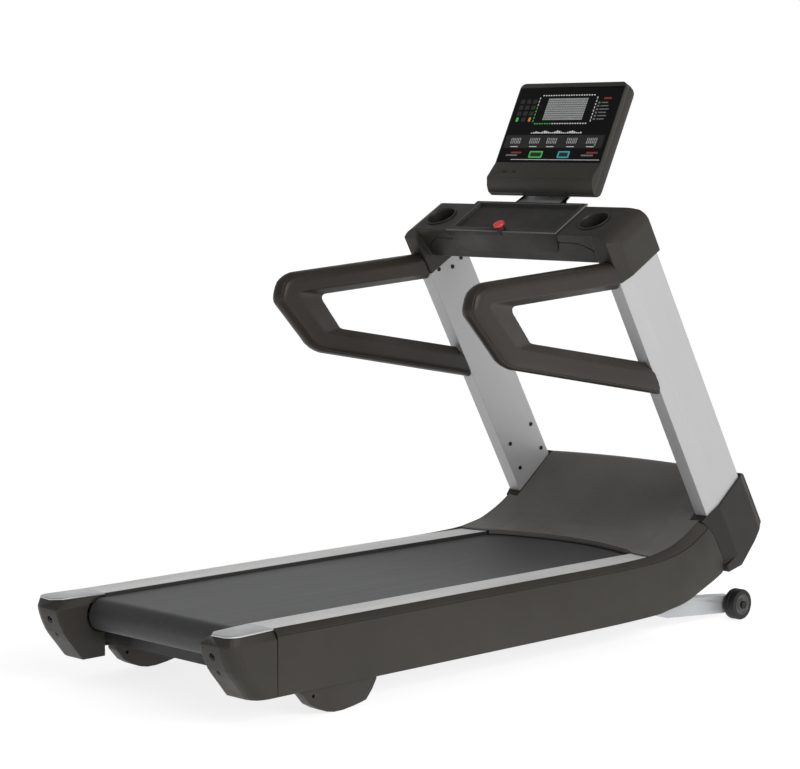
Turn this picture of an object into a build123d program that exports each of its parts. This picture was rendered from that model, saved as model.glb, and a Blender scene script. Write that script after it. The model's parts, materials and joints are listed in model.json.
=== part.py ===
# Commercial treadmill: deck with running belt and rollers, two raked uprights, console,
# tilted display, loop handles, and a front lift frame on wheels.
# Millimetres. +X is the user's right when facing the console, +Y points forward from the
# rear roller to the motor hood, +Z is up. The origin is on the floor, under the middle of
# the whole machine.
from build123d import *
import os
from math import sin, cos, tan, radians, pi, sqrt, atan2

os.makedirs("parts", exist_ok=True)

# ---------------------------------------------------------------- driving dimensions
shift_y = 7.75            # moves the working frame so that the overall box is centred on Y = 0
belt_top = 230.0          # running surface above the floor
deck_half_gap = 291.0     # half the clear width between the foot rails
rail_outer = 381.0        # outer edge of the foot rails
side_outer = 400.0        # outer face of the side skirts
rail_top = 241.0          # top of the foot rails
rear_face = -1062.0       # rearmost face of the end caps
cap_front = -902.0        # joint between end caps and skirts
skirt_bottom = 70.0
belt_half = 288.0
belt_t = 2.5
roller_r = 41.0
roller_gap = 0.4
roller_z = belt_top - belt_t - roller_gap - roller_r
rear_roller_y = -914.0
front_roller_y = 690.0
frame_in, frame_out = 340.0, 380.0
frame_lo, frame_hi = 120.0, 200.0
deck_bot, deck_top = 202.0, 227.0
tilt = 29.94              # rake of the uprights from the vertical, degrees
up_y, up_z = 404.0, 1020.0   # a point on the rear edge line of the uprights
up_depth = 175.0
up_in, up_out = 352.0, 406.0
deck_s = 176.5            # console deck height along the upright axis
console_half = 411.0
handle_x, handle_t = 376.0, 54.0
wheel_r, wheel_y, wheel_z = 46.0, 990.0, 46.0
pivot_y, pivot_z = 575.0, 104.0
lug_r = 60.0
lift_angle = 38.0

st, ct = sin(radians(tilt)), cos(radians(tilt))


# ---------------------------------------------------------------- helpers
def ccw(pts):
    """The same outline, turning left, so that its face looks along the plane's normal."""
    area = sum(a[0] * b[1] - b[0] * a[1] for a, b in zip(pts, pts[1:] + pts[:1]))
    return pts if area > 0 else pts[::-1]


def yz(pts, x0, x1):
    pl = Plane(origin=(x0, 0, 0), x_dir=(0, 1, 0), z_dir=(1, 0, 0))
    return extrude(pl * make_face(Polyline(*ccw(pts), close=True)), amount=x1 - x0)


def xz(pts, y0, y1):
    pl = Plane(origin=(0, y1, 0), x_dir=(1, 0, 0), z_dir=(0, -1, 0))
    return extrude(pl * make_face(Polyline(*ccw(pts), close=True)), amount=y1 - y0)


def xy(pts, z0, z1):
    pl = Plane(origin=(0, 0, z0), x_dir=(1, 0, 0), z_dir=(0, 0, 1))
    return extrude(pl * make_face(Polyline(*ccw(pts), close=True)), amount=z1 - z0)


def box(x0, x1, y0, y1, z0, z1):
    return Pos((x0 + x1) / 2, (y0 + y1) / 2, (z0 + z1) / 2) * Box(x1 - x0, y1 - y0, z1 - z0)


def cyl(a, b, r):
    a, b = Vector(*a), Vector(*b)
    d = b - a
    pl = Plane(origin=a, z_dir=d.normalized())
    return extrude(pl * Circle(r), amount=d.length)


def ts(t, s):
    """(Y, Z) of a point given across (t) and along (s) the upright axis."""
    return (up_y + t * ct - s * st, up_z + t * st + s * ct)


def tsp(x, t, s):
    y, z = ts(t, s)
    return (x, y, z)


up_plane = Plane(origin=(0, up_y, up_z), x_dir=(1, 0, 0), z_dir=(0, -st, ct))


def up_extrude(pts, s0, s1):
    """Section given in (x, t), pushed along the upright axis from s0 to s1."""
    return extrude(up_plane.offset(s0) * make_face(Polyline(*ccw(pts), close=True)), amount=s1 - s0)


def tsx(pts, x0, x1):
    """Polygon given in (t, s), pushed along X."""
    return yz([ts(*p) for p in pts], x0, x1)


def mirror_x(shape):
    return mirror(shape, about=Plane.YZ)


def sections(polys):
    """Ruled solid through closed 3D polygons with the same number of corners."""
    faces = [make_face(Polyline(*p, close=True)) for p in polys]
    return loft(faces, ruled=True)


def curve(table, y):
    if y <= table[0][0]:
        return table[0][1]
    for (ya, za), (yb, zb) in zip(table, table[1:]):
        if y <= yb:
            return za + (zb - za) * (y - ya) / (yb - ya)
    return table[-1][1]


def smooth(table, step=20.0):
    """Monotone cubic through a table of (y, z), resampled evenly."""
    n = len(table)
    h = [table[i + 1][0] - table[i][0] for i in range(n - 1)]
    d = [(table[i + 1][1] - table[i][1]) / h[i] for i in range(n - 1)]
    m = [d[0]] + [0 if d[i - 1] * d[i] <= 0 else 2 * d[i - 1] * d[i] / (d[i - 1] + d[i]) for i in range(1, n - 1)] + [d[-1]]
    out = []
    for i in range(n - 1):
        k = max(1, round(h[i] / step))
        for j in range(k):
            t = j / k
            out.append((table[i][0] + t * h[i],
                        (2 * t**3 - 3 * t**2 + 1) * table[i][1] + (t**3 - 2 * t**2 + t) * h[i] * m[i]
                        + (-2 * t**3 + 3 * t**2) * table[i + 1][1] + (t**3 - t**2) * h[i] * m[i + 1]))
    out.append(table[-1])
    return out


def save(name, shape):
    shape = Pos(0, shift_y, 0) * shape
    export_step(shape, "parts/" + name + ".step")


def group(shapes):
    return Compound([s for sh in shapes for s in sh.solids()])


# ---------------------------------------------------------------- base frame
rail_pts = [(-985, frame_lo), (700, frame_lo), (850, 165), (985, 178), (985, frame_hi), (-985, frame_hi)]
rail_in = [(-1000, frame_lo + 3), (698, frame_lo + 3), (848, 168), (980, 181), (980, frame_hi - 3), (-1000, frame_hi - 3)]
frame_r = yz(rail_pts, frame_in, frame_out) - yz(rail_in, frame_in + 3, frame_out - 3)
lug = yz([(548, 120), (552, 96), (560, 86), (590, 86), (598, 96), (602, 120)], 341, 349)
lug -= cyl((330, pivot_y, pivot_z), (360, pivot_y, pivot_z), 8.1)
frame_r += lug
save("frame_rail_right", frame_r)
save("frame_rail_left", mirror_x(frame_r))

cross = []
for y0, y1, z0, z1 in [(-880, -840, 101, 138), (-420, -380, 150, 178), (180, 220, 150, 178), (742, 782, 122, 158)]:
    x = frame_in - 0.02
    tube = box(-x, x, y0, y1, z0, z1) - box(-x - 1, x + 1, y0 + 2.5, y1 - 2.5, z0 + 2.5, z1 - 2.5)
    cross.append(tube)
save("frame_crossmembers", group(cross))

deck = box(-318, 318, -850, 620, deck_bot, deck_top)
save("deck_board", deck)
cush = []
for y in (-400, 200):
    for x in (-280, 280):
        cush.append(cyl((x, y, 178), (x, y, deck_bot), 18))
for y in (-100, 480):
    for sx in (-1, 1):
        c = cyl((sx * 312, y, frame_hi - 40), (sx * 312, y, deck_bot), 6) + box(sx * 312 - 20, sx * 312 + 27.9, y - 20, y + 20, 150, 164) if sx > 0 else \
            cyl((sx * 312, y, frame_hi - 40), (sx * 312, y, deck_bot), 6) + box(sx * 312 - 27.9, sx * 312 + 20, y - 20, y + 20, 150, 164)
        c += cyl((sx * 312, y, 164), (sx * 312, y, deck_bot), 16)
        cush.append(c)
save("deck_cushions", group(cush))

# running belt: closed loop of constant thickness round both rollers
ri = roller_r + roller_gap
ro = ri + belt_t


def loop_face(y0, z0, r0, y1, z1, r1):
    """Outline in (Y, Z) of a tight loop round two circles."""
    c0, c1 = (y0, z0), (y1, z1)
    d = sqrt((y1 - y0) ** 2 + (z1 - z0) ** 2)
    a = atan2(z1 - z0, y1 - y0)
    b = (pi / 2) + 0.0
    phi = (r0 - r1) / d
    from math import acos
    g = acos(phi)
    p = lambda c, r, an: (c[0] + r * cos(an), c[1] + r * sin(an))
    u0, u1 = p(c0, r0, a + g), p(c1, r1, a + g)
    l0, l1 = p(c0, r0, a - g), p(c1, r1, a - g)
    back = p(c0, r0, a + pi)
    front = p(c1, r1, a)
    with BuildSketch() as sk:
        with BuildLine():
            Line(u0, u1)
            ThreePointArc(u1, front, l1)
            Line(l1, l0)
            ThreePointArc(l0, back, u0)
        make_face()
    return sk.sketch


def loop_solid(y0, z0, r0, y1, z1, r1, x0, x1):
    pl = Plane(origin=(x0, 0, 0), x_dir=(0, 1, 0), z_dir=(1, 0, 0))
    return extrude(pl * loop_face(y0, z0, r0, y1, z1, r1), amount=x1 - x0)


belt = loop_solid(rear_roller_y, roller_z, ro, front_roller_y, roller_z, ro, -belt_half, belt_half)
belt -= loop_solid(rear_roller_y, roller_z, ri, front_roller_y, roller_z, ri, -belt_half - 1, belt_half + 1)
save("running_belt", belt)

# rollers: steel tubes with end discs bored for their fixed axles
axle_r = 8.5


def roller(y, extra=None):
    r = cyl((-292, y, roller_z), (292, y, roller_z), roller_r) - cyl((-286, y, roller_z), (286, y, roller_z), roller_r - 4)
    for s in (-1, 1):
        r += cyl((s * 288, y, roller_z), (s * 296, y, roller_z), 15)
    if extra is not None:
        r += extra
    return r - cyl((-340, y, roller_z), (340, y, roller_z), axle_r + 0.05)


save("rear_roller", roller(rear_roller_y))
pul_r = 38.0
fp = cyl((-332, front_roller_y, roller_z), (-304, front_roller_y, roller_z), pul_r)
fp -= cyl((-328, front_roller_y, roller_z), (-308, front_roller_y, roller_z), pul_r + 5) - cyl((-328, front_roller_y, roller_z), (-308, front_roller_y, roller_z), pul_r - 3)
fp += cyl((-304, front_roller_y, roller_z), (-292, front_roller_y, roller_z), 18)
save("front_roller", roller(front_roller_y, fp))
axles = [cyl((-frame_in + 0.05, y, roller_z), (frame_in - 0.05, y, roller_z), axle_r) for y in (rear_roller_y, front_roller_y)]
save("roller_axles", group(axles))

# drive motor, its rotor with pulley and flywheel, and the drive belt
mot_y, mot_z = 850.0, 240.0
motor = cyl((-290, mot_y, mot_z), (-90, mot_y, mot_z), 60) - cyl((-284, mot_y, mot_z), (-96, mot_y, mot_z), 55)
motor -= cyl((-300, mot_y, mot_z), (-80, mot_y, mot_z), 10.05)
motor += box(-280, -100, 805, 895, 174.02, 184)
motor -= cyl((-284, mot_y, mot_z), (-96, mot_y, mot_z), 55)
save("drive_motor_housing", motor)
rotor = cyl((-334, mot_y, mot_z), (-48, mot_y, mot_z), 10)
rotor += cyl((-278, mot_y, mot_z), (-102, mot_y, mot_z), 46)
rotor += cyl((-332, mot_y, mot_z), (-304, mot_y, mot_z), 24) - (cyl((-328, mot_y, mot_z), (-308, mot_y, mot_z), 30) - cyl((-328, mot_y, mot_z), (-308, mot_y, mot_z), 20))
rotor += cyl((-78, mot_y, mot_z), (-52, mot_y, mot_z), 58)
save("motor_rotor", rotor)
bracket = box(-frame_in + 0.05, -60, 800, 900, 168, 174)
save("motor_bracket", bracket)
g = 0.4
dbelt = loop_solid(front_roller_y, roller_z, pul_r - 3 + g + 3, mot_y, mot_z, 20 + g + 3, -326, -310)
dbelt -= loop_solid(front_roller_y, roller_z, pul_r - 3 + g, mot_y, mot_z, 20 + g, -330, -306)
save("drive_belt", dbelt)
board = box(40, 280, 800, 930, 170, 178)
for i in range(9):
    board += box(60 + i * 14, 66 + i * 14, 810, 900, 178, 214)
board += box(200, 262, 810, 900, 178, 206)
save("motor_controller", board)

# ---------------------------------------------------------------- foot rails
rail_front = 640.0
sec = [(deck_half_gap, 228.2), (deck_half_gap + 2, 228.2), (deck_half_gap + 2, 236.5), (rail_outer - 4, 236.5), (rail_outer - 4, 205),
       (rail_outer, 205), (rail_outer, rail_top)]
n_groove = 5
gw, gd = 3.2, 1.6
xs = []
span = rail_outer - deck_half_gap
for i in range(n_groove):
    xc = rail_outer - span * (i + 1) / (n_groove + 1)
    xs += [(xc + gw / 2, rail_top), (xc + gw / 2 - 0.4, rail_top - gd), (xc - gw / 2 + 0.4, rail_top - gd), (xc - gw / 2, rail_top)]
sec += xs + [(deck_half_gap + 1.5, rail_top), (deck_half_gap, rail_top - 1.5)]
rail = xz(sec, cap_front, rail_front)
save("foot_rail_right", rail)
save("foot_rail_left", mirror_x(rail))
sup = []
for y in (-860, -560, -260, 40, 340, 590):
    for s in (-1, 1):
        a, b = sorted((s * 346, s * 372))
        sup.append(box(a, b, y - 25, y + 25, frame_hi, 236.5))
save("rail_supports", group(sup))

# ---------------------------------------------------------------- side skirts
bottom_line = smooth([(-901.2, 70), (300, 70), (400, 70.5), (488, 72), (578, 75), (623, 82), (669, 88), (715, 99), (762, 117), (809, 135), (837, 146), (890, 172)])
top_line = smooth([(-901.2, 241), (300, 241), (400, 241.6), (508, 244.5), (553, 247.3), (598, 254.5), (643, 263), (689, 280), (726, 297), (758, 315), (790, 336), (890, 413)])
groove_line = smooth([(-901.2, 224), (300, 224), (400, 224.4), (492, 226), (581, 231), (650, 241), (719, 261), (765, 283), (793, 300), (890, 368)])
stations = [-901.2, -450, 0, 300, 350, 400] + [420 + 15 * i for i in range(31)]
wall = 3.5
polys = []
for y in stations:
    zb, zt, zg = curve(bottom_line, y), curve(top_line, y), curve(groove_line, y)
    polys.append([(side_outer - wall, y, zb), (side_outer, y, zb), (side_outer, y, zg - 2.0), (side_outer - 3.0, y, zg - 1.2), (side_outer - 3.0, y, zg + 1.2), (side_outer - 1.2, y, zg + 2.4),
                  (rail_outer + 2.2, y, zt), (rail_outer + 0.4, y, zt - 0.6), (rail_outer + 0.4, y, zt - 4), (side_outer - wall - 3.4, y, zg - 1.0), (side_outer - wall, y, zg - 6)])
skirt = sections(polys)
boot_edge = [(-1200, 0), (879, 0), (879, 168), (863.2, 215), (824, 279), (785.2, 314), (768.5, 323.5), (768.5, 480), (-1200, 480)]
skirt = skirt & yz(boot_edge, 370, 410)
save("side_skirt_right", skirt)
save("side_skirt_left", mirror_x(skirt))

# ---------------------------------------------------------------- rear end caps
cap_in = 290.5


def cap_poly(z, yr, inset=0.0, rnd=1.0, front=cap_front):
    i = inset
    xo = side_outer - i
    yr = yr + i
    q = rnd
    return [(cap_in + i, yr, z), (xo - 36 * q, yr, z), (xo - 22 * q, yr + 4 * q, z), (xo - 10 * q, yr + 12 * q, z), (xo - 3 * q, yr + 24 * q, z), (xo, yr + 40 * q, z), (xo, front, z), (cap_in + i, front, z)]


levels = [(214, rear_face), (206, rear_face + 1.0), (196, rear_face + 3.5), (180, rear_face + 9), (164, rear_face + 16), (148, rear_face + 24), (130, rear_face + 37), (112, rear_face + 52), (92, rear_face + 68), (78, rear_face + 79), (70, rear_face + 86)]
pad_low = [(304.0, -1030.0), (330.0, -1057.0), (374.0, -1052.0), (386.0, -1044.0), (392.0, -1034.0), (395.5, -1020.0), (385.0, cap_front), (290.5, cap_front)]
pad_z = 236.0
cap_body = sections([cap_poly(z, y) for z, y in levels])
roof = sections([cap_poly(214, rear_face), [(x, y, pad_z) for x, y in pad_low]])
cap = cap_body + roof
hollow = sections([cap_poly(z, y, 4, 0.9, cap_front + 5) for z, y in [(210, rear_face)] + levels[1:]] + [])
hollow2 = sections([cap_poly(66, rear_face + 90, 4, 0.9, cap_front + 5), cap_poly(71, rear_face + 85.5, 4, 0.9, cap_front + 5)])
hollow3 = sections([cap_poly(209.9, rear_face, 4, 0.9, cap_front + 5), [(x + (4.5 if x < 350 else -5), y + (6 if y < -1000 else 5), pad_z - 4) for x, y in pad_low]])
cap = cap - hollow - hollow2 - hollow3
cap -= cyl((280, rear_roller_y, roller_z), (cap_in + 4.2, rear_roller_y, roller_z), 47)
cap -= box(280, cap_in + 4.2, rear_roller_y, -890, roller_z - 47, 228)
cap -= cyl((330, -1090, 185), (330, -1000, 185), 9)
cap -= cyl((329, -1090, 142.5), (329, -980, 142.5), 4.5)
save("rear_end_cap_right", cap)
save("rear_end_cap_left", mirror_x(cap))
pad_top = [(306.5, -1027.5), (331.0, -1053.5), (373.0, -1049.0), (384.5, -1041.5), (390.0, -1032.5), (393.5, -1019.5), (383.5, cap_front), (291.0, cap_front)]
pad_mid = [(304.5, -1029.5), (330.2, -1056.5), (374.0, -1051.5), (385.8, -1043.6), (391.7, -1033.8), (395.2, -1020.0), (384.8, cap_front), (290.6, cap_front)]
pad = sections([[(x, y, pad_z) for x, y in pad_mid], [(x, y, rail_top - 1.6) for x, y in pad_mid], [(x, y, rail_top) for x, y in pad_top]])
save("rear_cap_plate_right", pad)
save("rear_cap_plate_left", mirror_x(pad))
bolts = []
for s in (-1, 1):
    b = cyl((s * 330, -1046, 185), (s * 330, rear_roller_y - axle_r, 185), 5) + cyl((s * 330, -1052, 185), (s * 330, -1044, 185), 8)
    b -= cyl((s * 330, -1053, 185), (s * 330, -1048, 185), 3.6)
    bolts.append(b)
save("roller_tension_bolts", group(bolts))
scr = []
for s in (-1, 1):
    b = cyl((s * 329, -1030, 142.5), (s * 329, -995, 142.5), 3)
    b += cyl((s * 329, -1033, 142.5), (s * 329, -1029, 142.5), 4.4)
    scr.append(b)
save("end_cap_screws", group(scr))

# ---------------------------------------------------------------- rear feet
foot_pts = [(-812, 119.9), (-815, 64), (-784, 29), (-760, 16), (-730, 4.5), (-706, 0), (-676, 0), (-640, 4.5), (-610, 10), (-593, 14), (-572, 38), (-556, 64), (-560, 119.9)]
foot = yz(foot_pts, 356, 394) - cyl((350, -778, 52), (400, -778, 52), 5)
save("rear_foot_right", foot)
save("rear_foot_left", mirror_x(foot))

# ---------------------------------------------------------------- uprights
t_ch = 48.0
ch_w = 11.0                 # width of the bevel on the outer rear corner
up_sec = [(up_in, 0), (up_out - ch_w, 0), (up_out, t_ch), (up_out, up_depth - 8), (up_out - 6, up_depth), (up_in + 6, up_depth), (up_in, up_depth - 8)]
w = 3.0
up_sec_in = [(up_in + w, w), (up_out - ch_w - w + 0.7, w), (up_out - w, t_ch), (up_out - w, up_depth - 8 - 1), (up_out - 6 - 1, up_depth - w), (up_in + 6 + 1, up_depth - w), (up_in + w, up_depth - 9)]
upr = up_extrude(up_sec, -900, 118) - up_extrude(up_sec_in, -900, 140)
upr &= yz([(300, 300), (1100, 300), (1100, 1200), (300, 1200)], 300, 450)
base_plate = yz([(858, 292), (1015, 292), (1015, 300.5), (858, 300.5)], 353, 399)
leg = yz([(882, frame_hi), (984, frame_hi), (1005, 292), (862, 292)], 356, 379.5)
upr = upr + base_plate + leg
save("upright_right", upr)
save("upright_left", mirror_x(upr))

# ---------------------------------------------------------------- upright base covers
boot_pts = [(797, 340.5), (938, 451.3), (943, 453), (951, 452), (957, 448), (1046.5, 299), (1045.5, 293), (1011, 243), (948, 176), (886, 162), (880.5, 168.5), (864.6, 215.6), (825.6, 279.8), (786.6, 314.8), (777, 321), (777, 325)]
boot_x0, boot_x1 = 346.5, 412.0
boot = yz(boot_pts, boot_x0, boot_x1)
# the outer rear corner carries on the bevel of the upright
bev = up_extrude([(413, -70), (381, -70), (412, 46), (413, 46)], -960, -560)
boot -= bev
front_bev = up_extrude([(boot_x1 + 1, 260), (boot_x1 - 20, 260), (boot_x1 - 5, up_depth + 10), (boot_x1, up_depth - 4), (boot_x1 + 1, up_depth - 4)], -960, -560)
boot -= front_bev
inner_pts = [(802, 338), (938, 445), (950, 446), (1040, 297), (1006, 246), (945, 181), (888, 167.5), (868, 218), (829, 283), (789, 319), (784, 322)]
boot -= yz(inner_pts, boot_x0 + 3.5, boot_x1 - 22)
boot -= up_extrude([(up_in - 1.2, -1.2), (up_out - ch_w + 0.8, -1.2), (up_out + 1.2, t_ch), (up_out + 1.2, up_depth + 1.2), (up_in - 1.2, up_depth + 1.2)], -1000, -400) & yz([(700, 298), (1034, 298), (1034, 600), (700, 600)], 300, 450)
boot -= box(338, 382, 600, 986, 150, 201)
boot -= box(354, 382, 856, 1012, 198, 300)
boot -= yz([(855, 290), (1018, 290), (1024, 303), (848, 303)], 351.5, 400.8)
save("upright_boot_right", boot)
save("upright_boot_left", mirror_x(boot))

# ---------------------------------------------------------------- motor hood
edge = [(556, 246), (590, 252), (643, 262.5), (689, 279.5), (708, 288), (726, 296.5), (758, 314.5), (796, 340), (830, 366.8), (865, 394.3), (900, 421.8), (925, 441), (940, 449.5), (952, 450.5), (966, 443), (985, 420), (1010, 388), (1030, 362), (1043, 340), (1045, 300), (1010, 243), (948, 176)]
mid = [(648, 247), (675, 251.5), (706, 259.5), (735, 268), (744, 272), (757, 281), (775, 295), (800, 318.5), (832, 351), (866, 386.5), (901, 420.5), (925, 443.5), (940, 456), (954, 459.5), (970, 453), (989, 427), (1013, 392), (1032, 363), (1043, 340), (1045, 300), (1010, 243), (948, 176)]
plan = [(0, 648.0), (95, 641.5), (190, 620.0), (235, 607.0), (262, 596.0), (291, 575.0), (330, 563.0), (380.4, 556.0)]


def hood_profile(x):
    a = abs(x)
    y0 = curve(plan, a)
    k = (y0 - 556.0) / (648.0 - 556.0)
    crown = 1.0 - (a / 380.4) ** 2
    out = []
    for i, (e, m_) in enumerate(zip(edge, mid)):
        kk = k if i < 11 else crown
        out.append((e[0] + (m_[0] - e[0]) * kk, e[1] + (m_[1] - e[1]) * kk))
    return out


def inward(pts, d):
    out = []
    n = len(pts)
    for i in range(n):
        a = pts[max(0, i - 1)]
        b = pts[min(n - 1, i + 1)]
        tx, tz = b[0] - a[0], b[1] - a[1]
        L = sqrt(tx * tx + tz * tz)
        out.append((pts[i][0] + tz / L * d, pts[i][1] - tx / L * d))
    return out


hx = [-380.4, -330, -291, -262, -235, -190, -142, -95, -48, 0, 48, 95, 142, 190, 235, 262, 291, 330, 380.4]
outer_p, inner_p = [], []
for x in hx:
    p = hood_profile(x)
    z_lip = 243.0
    outer_p.append([(x, p[0][0], z_lip)] + [(x, y, z) for y, z in p] + [(x, 760, 176), (x, 760, z_lip)])
    q = inward(p, 3.5)
    q[0] = (p[0][0] + 3.0, p[0][1] - 3.2)
    inner_p.append([(x, q[0][0], 200)] + [(x, y, z) for y, z in q[:-1]] + [(x, 944, 160), (x, 755, 160), (x, 755, 200)])
hood_out = sections(outer_p)
hood_in = sections([[(px * 1.01, y, z) for px, y, z in p] for p in inner_p])
hood = hood_out - hood_in
side_cut = yz([(769.5, 150), (769.5, 318), (776.2, 326), (796.0, 342.5), (937, 453.5), (943, 480), (1100, 480), (1100, 150)], 345.9, 400)
hood -= side_cut
hood -= mirror_x(side_cut)
for s in (-1, 1):
    hood -= box(min(s * 338, s * 383), max(s * 338, s * 383), 700, 992, 150, 202)
# socket opening for the mains inlet
hood -= box(180, 230, 1030, 1060, 312, 346)
save("motor_hood", hood)

lip_pts = [(x, y - 1.5) for x, y in plan if x < 290] + [(284, 580)]
lip_pts = sorted(set(lip_pts))
lp = [(-x, y) for x, y in reversed(lip_pts) if x > 0] + lip_pts
lip = xy(lp + [(x, y + 9) for x, y in reversed(lp)], 232.0, 242.6)
save("hood_lip", lip)
inlet = box(181, 229, 1018, 1046, 313, 345) - box(186, 224, 1026, 1050, 318, 340)
for dx in (-10, 0, 10):
    inlet += box(205 + dx - 1.2, 205 + dx + 1.2, 1020, 1038, 326 if dx else 329, 333 if dx else 336)
save("power_inlet", inlet)
pan = yz([(786, 141), (885, 153), (944, 167), (944, 171), (884.5, 156.8), (786, 144.6)], -338, 338)
save("belly_pan", pan)

# ---------------------------------------------------------------- lift frame
def rot_lift(y, z):
    return y, z


ct_x = 297.9
lift_cross = cyl((-ct_x, pivot_y, pivot_z), (ct_x, pivot_y, pivot_z), 20) - cyl((-ct_x - 1, pivot_y, pivot_z), (-12, pivot_y, pivot_z), 15) - cyl((12, pivot_y, pivot_z), (ct_x + 1, pivot_y, pivot_z), 15)
ly = pivot_y + lug_r * sin(radians(lift_angle / 2))
lz = pivot_z - lug_r * cos(radians(lift_angle / 2))
nx, nz = cos(radians(lift_angle / 2)), sin(radians(lift_angle / 2))
lug_plate = yz([(pivot_y - 14 * nx, pivot_z - 14 * nz), (ly - 12 * nx, lz - 12 * nz), (ly + 12 * nx, lz + 12 * nz), (pivot_y + 14 * nx, pivot_z + 14 * nz)], -8, 8)
lug_plate += cyl((-8, ly, lz), (8, ly, lz), 12) + cyl((-23, ly, lz), (23, ly, lz), 6)
lift_cross += lug_plate
# second tie bar between the arms, ahead of the pivot
save("lift_cross_tube", lift_cross)
arm_pts = [(wheel_y + 10, wheel_z + 22), (wheel_y - 45, 73.5), (800, 86.5), (660, 112), (600, 128), (575, 130), (556, 124), (550, 104), (556, 88), (575, 84), (622, 84), (643, 72), (660, 55), (674, 44.5), (690, 39.5),
           (955, 18.5), (wheel_y + 8, 21), (wheel_y + 22, 34), (wheel_y + 24, 48)]
arm = yz(arm_pts, 298, 338)
arm -= cyl((290, pivot_y, pivot_z), (345, pivot_y, pivot_z), 8.05)
arm -= cyl((290, wheel_y, wheel_z), (345, wheel_y, wheel_z), 6.0)
inner_arm = [(wheel_y - 40, 66), (800, 80.5), (660, 106), (612, 117), (612, 90), (630, 88), (650, 74), (664, 58), (676, 49.5), (692, 44.5), (wheel_y - 40, 24)]
arm -= yz(inner_arm, 303, 333)
save("lift_arm_right", arm)
save("lift_arm_left", mirror_x(arm))
pb = []
for s in (-1, 1):
    pb.append(cyl((s * 299, pivot_y, pivot_z), (s * 352, pivot_y, pivot_z), 8) + cyl((s * 349.05, pivot_y, pivot_z), (s * 357, pivot_y, pivot_z), 13))
save("lift_pivot_bolts", group(pb))
wheel = cyl((345, wheel_y, wheel_z), (383, wheel_y, wheel_z), wheel_r)
wheel = chamfer(wheel.edges().filter_by(GeomType.CIRCLE), 4)
wheel -= cyl((381, wheel_y, wheel_z), (390, wheel_y, wheel_z), 27) - cyl((380, wheel_y, wheel_z), (390, wheel_y, wheel_z), 17)
wheel -= cyl((340, wheel_y, wheel_z), (347, wheel_y, wheel_z), 27) - cyl((340, wheel_y, wheel_z), (348, wheel_y, wheel_z), 17)
wheel -= cyl((340, wheel_y, wheel_z), (390, wheel_y, wheel_z), 6.05)
save("wheel_right", wheel)
save("wheel_left", mirror_x(wheel))
wb = []
for s in (-1, 1):
    b = cyl((s * 300, wheel_y, wheel_z), (s * 384, wheel_y, wheel_z), 6) + cyl((s * 383.4, wheel_y, wheel_z), (s * 389, wheel_y, wheel_z), 12)
    b += cyl((s * 338.0, wheel_y, wheel_z), (s * 344.6, wheel_y, wheel_z), 10)
    wb.append(b)
save("wheel_axle_bolts", group(wb))

# lift actuator: gearbox, motor and guide tube fixed to the frame, and the sliding screw tube
sz = 45.7
gear = box(-32, 88, 742, 786, 22, 92) + cyl((58, 786, 58), (58, 880, 58), 27)
gear += cyl((0, 742, sz), (0, 668, sz), 19)
gear += box(-30, -20, 744, 780, 92, 121.98) + box(20, 30, 744, 780, 92, 121.98)
gear -= cyl((0, 660, sz), (0, 782, sz), 12.6)
save("lift_motor", gear)
fork = box(-21, 21, 624, 638, 28, 64) + box(-21, -9.5, 580, 638, 28, 64) + box(9.5, 21, 580, 638, 28, 64)
slot = cyl((-30, ly, sz - 2.4), (30, ly, sz - 2.4), 6.5) + cyl((-30, ly, sz + 2.4), (30, ly, sz + 2.4), 6.5) + box(-30, 30, ly - 6.5, ly + 6.5, sz - 2.4, sz + 2.4)
fork -= slot
fork += cyl((0, 638, sz), (0, 738, sz), 12.5)
save("lift_screw_tube", fork)

# ---------------------------------------------------------------- console
body_ts = [(6.5, deck_s), (9, 158), (29, 72), (36, 66), (60, 62), (160, 62), (176, 68), (182, 82), (182, 138), (178, 158), (165, 172), (158, deck_s)]
ear_ts = [(-3, 25), (-3, 150), (4, 170), (6.5, deck_s), (158, deck_s), (165, 172), (178, 158), (182, 138), (182, 23.5), (180, 22.5), (0, 22.5)]
ear_in = 345.5
R_end = 60.0


def rounded_bar(half, s0, s1, r, t0, t1, sag=0.0):
    """Bar along X with a front view that is rounded at its top corners, pushed along t."""
    pl = Plane(origin=(0,) + ts(t0, 0), x_dir=(1, 0, 0), z_dir=(0, ct, st))
    # with this plane, local y points down the upright axis
    with BuildSketch() as sk:
        with BuildLine():
            Line((-half, -s0), (-half, -(s1 - r)))
            ThreePointArc((-half, -(s1 - r)), (-half + r * (1 - cos(pi / 4)), -(s1 - r + r * sin(pi / 4))), (-half + r, -s1))
            Line((-half + r, -s1), (half - r, -s1))
            ThreePointArc((half - r, -s1), (half - r * (1 - cos(pi / 4)), -(s1 - r + r * sin(pi / 4))), (half, -(s1 - r)))
            Line((half, -(s1 - r)), (half, -s0))
            Line((half, -s0), (-half, -s0))
        make_face()
    return extrude(pl * sk.sketch, amount=t1 - t0)


shell = tsx(body_ts, -ear_in, ear_in)
env = rounded_bar(console_half, 0, deck_s, R_end, -20, 200)
ear = tsx(ear_ts, ear_in, console_half)
# bevel on the outer rear corner of the ears
ear -= up_extrude([(412, -30), (392.5, -30), (411, 44), (412, 44)], 0, 200)
ears = [ear & env, mirror_x(ear) & env]
console = shell + ears[0] + ears[1]
# split between the upper and lower shells
upper = console - rounded_bar(345.2, -30, 145.2, 88.0, -60, 240)
lower = console & rounded_bar(344.8, -30, 144.6, 88.0, -60, 240)
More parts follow.
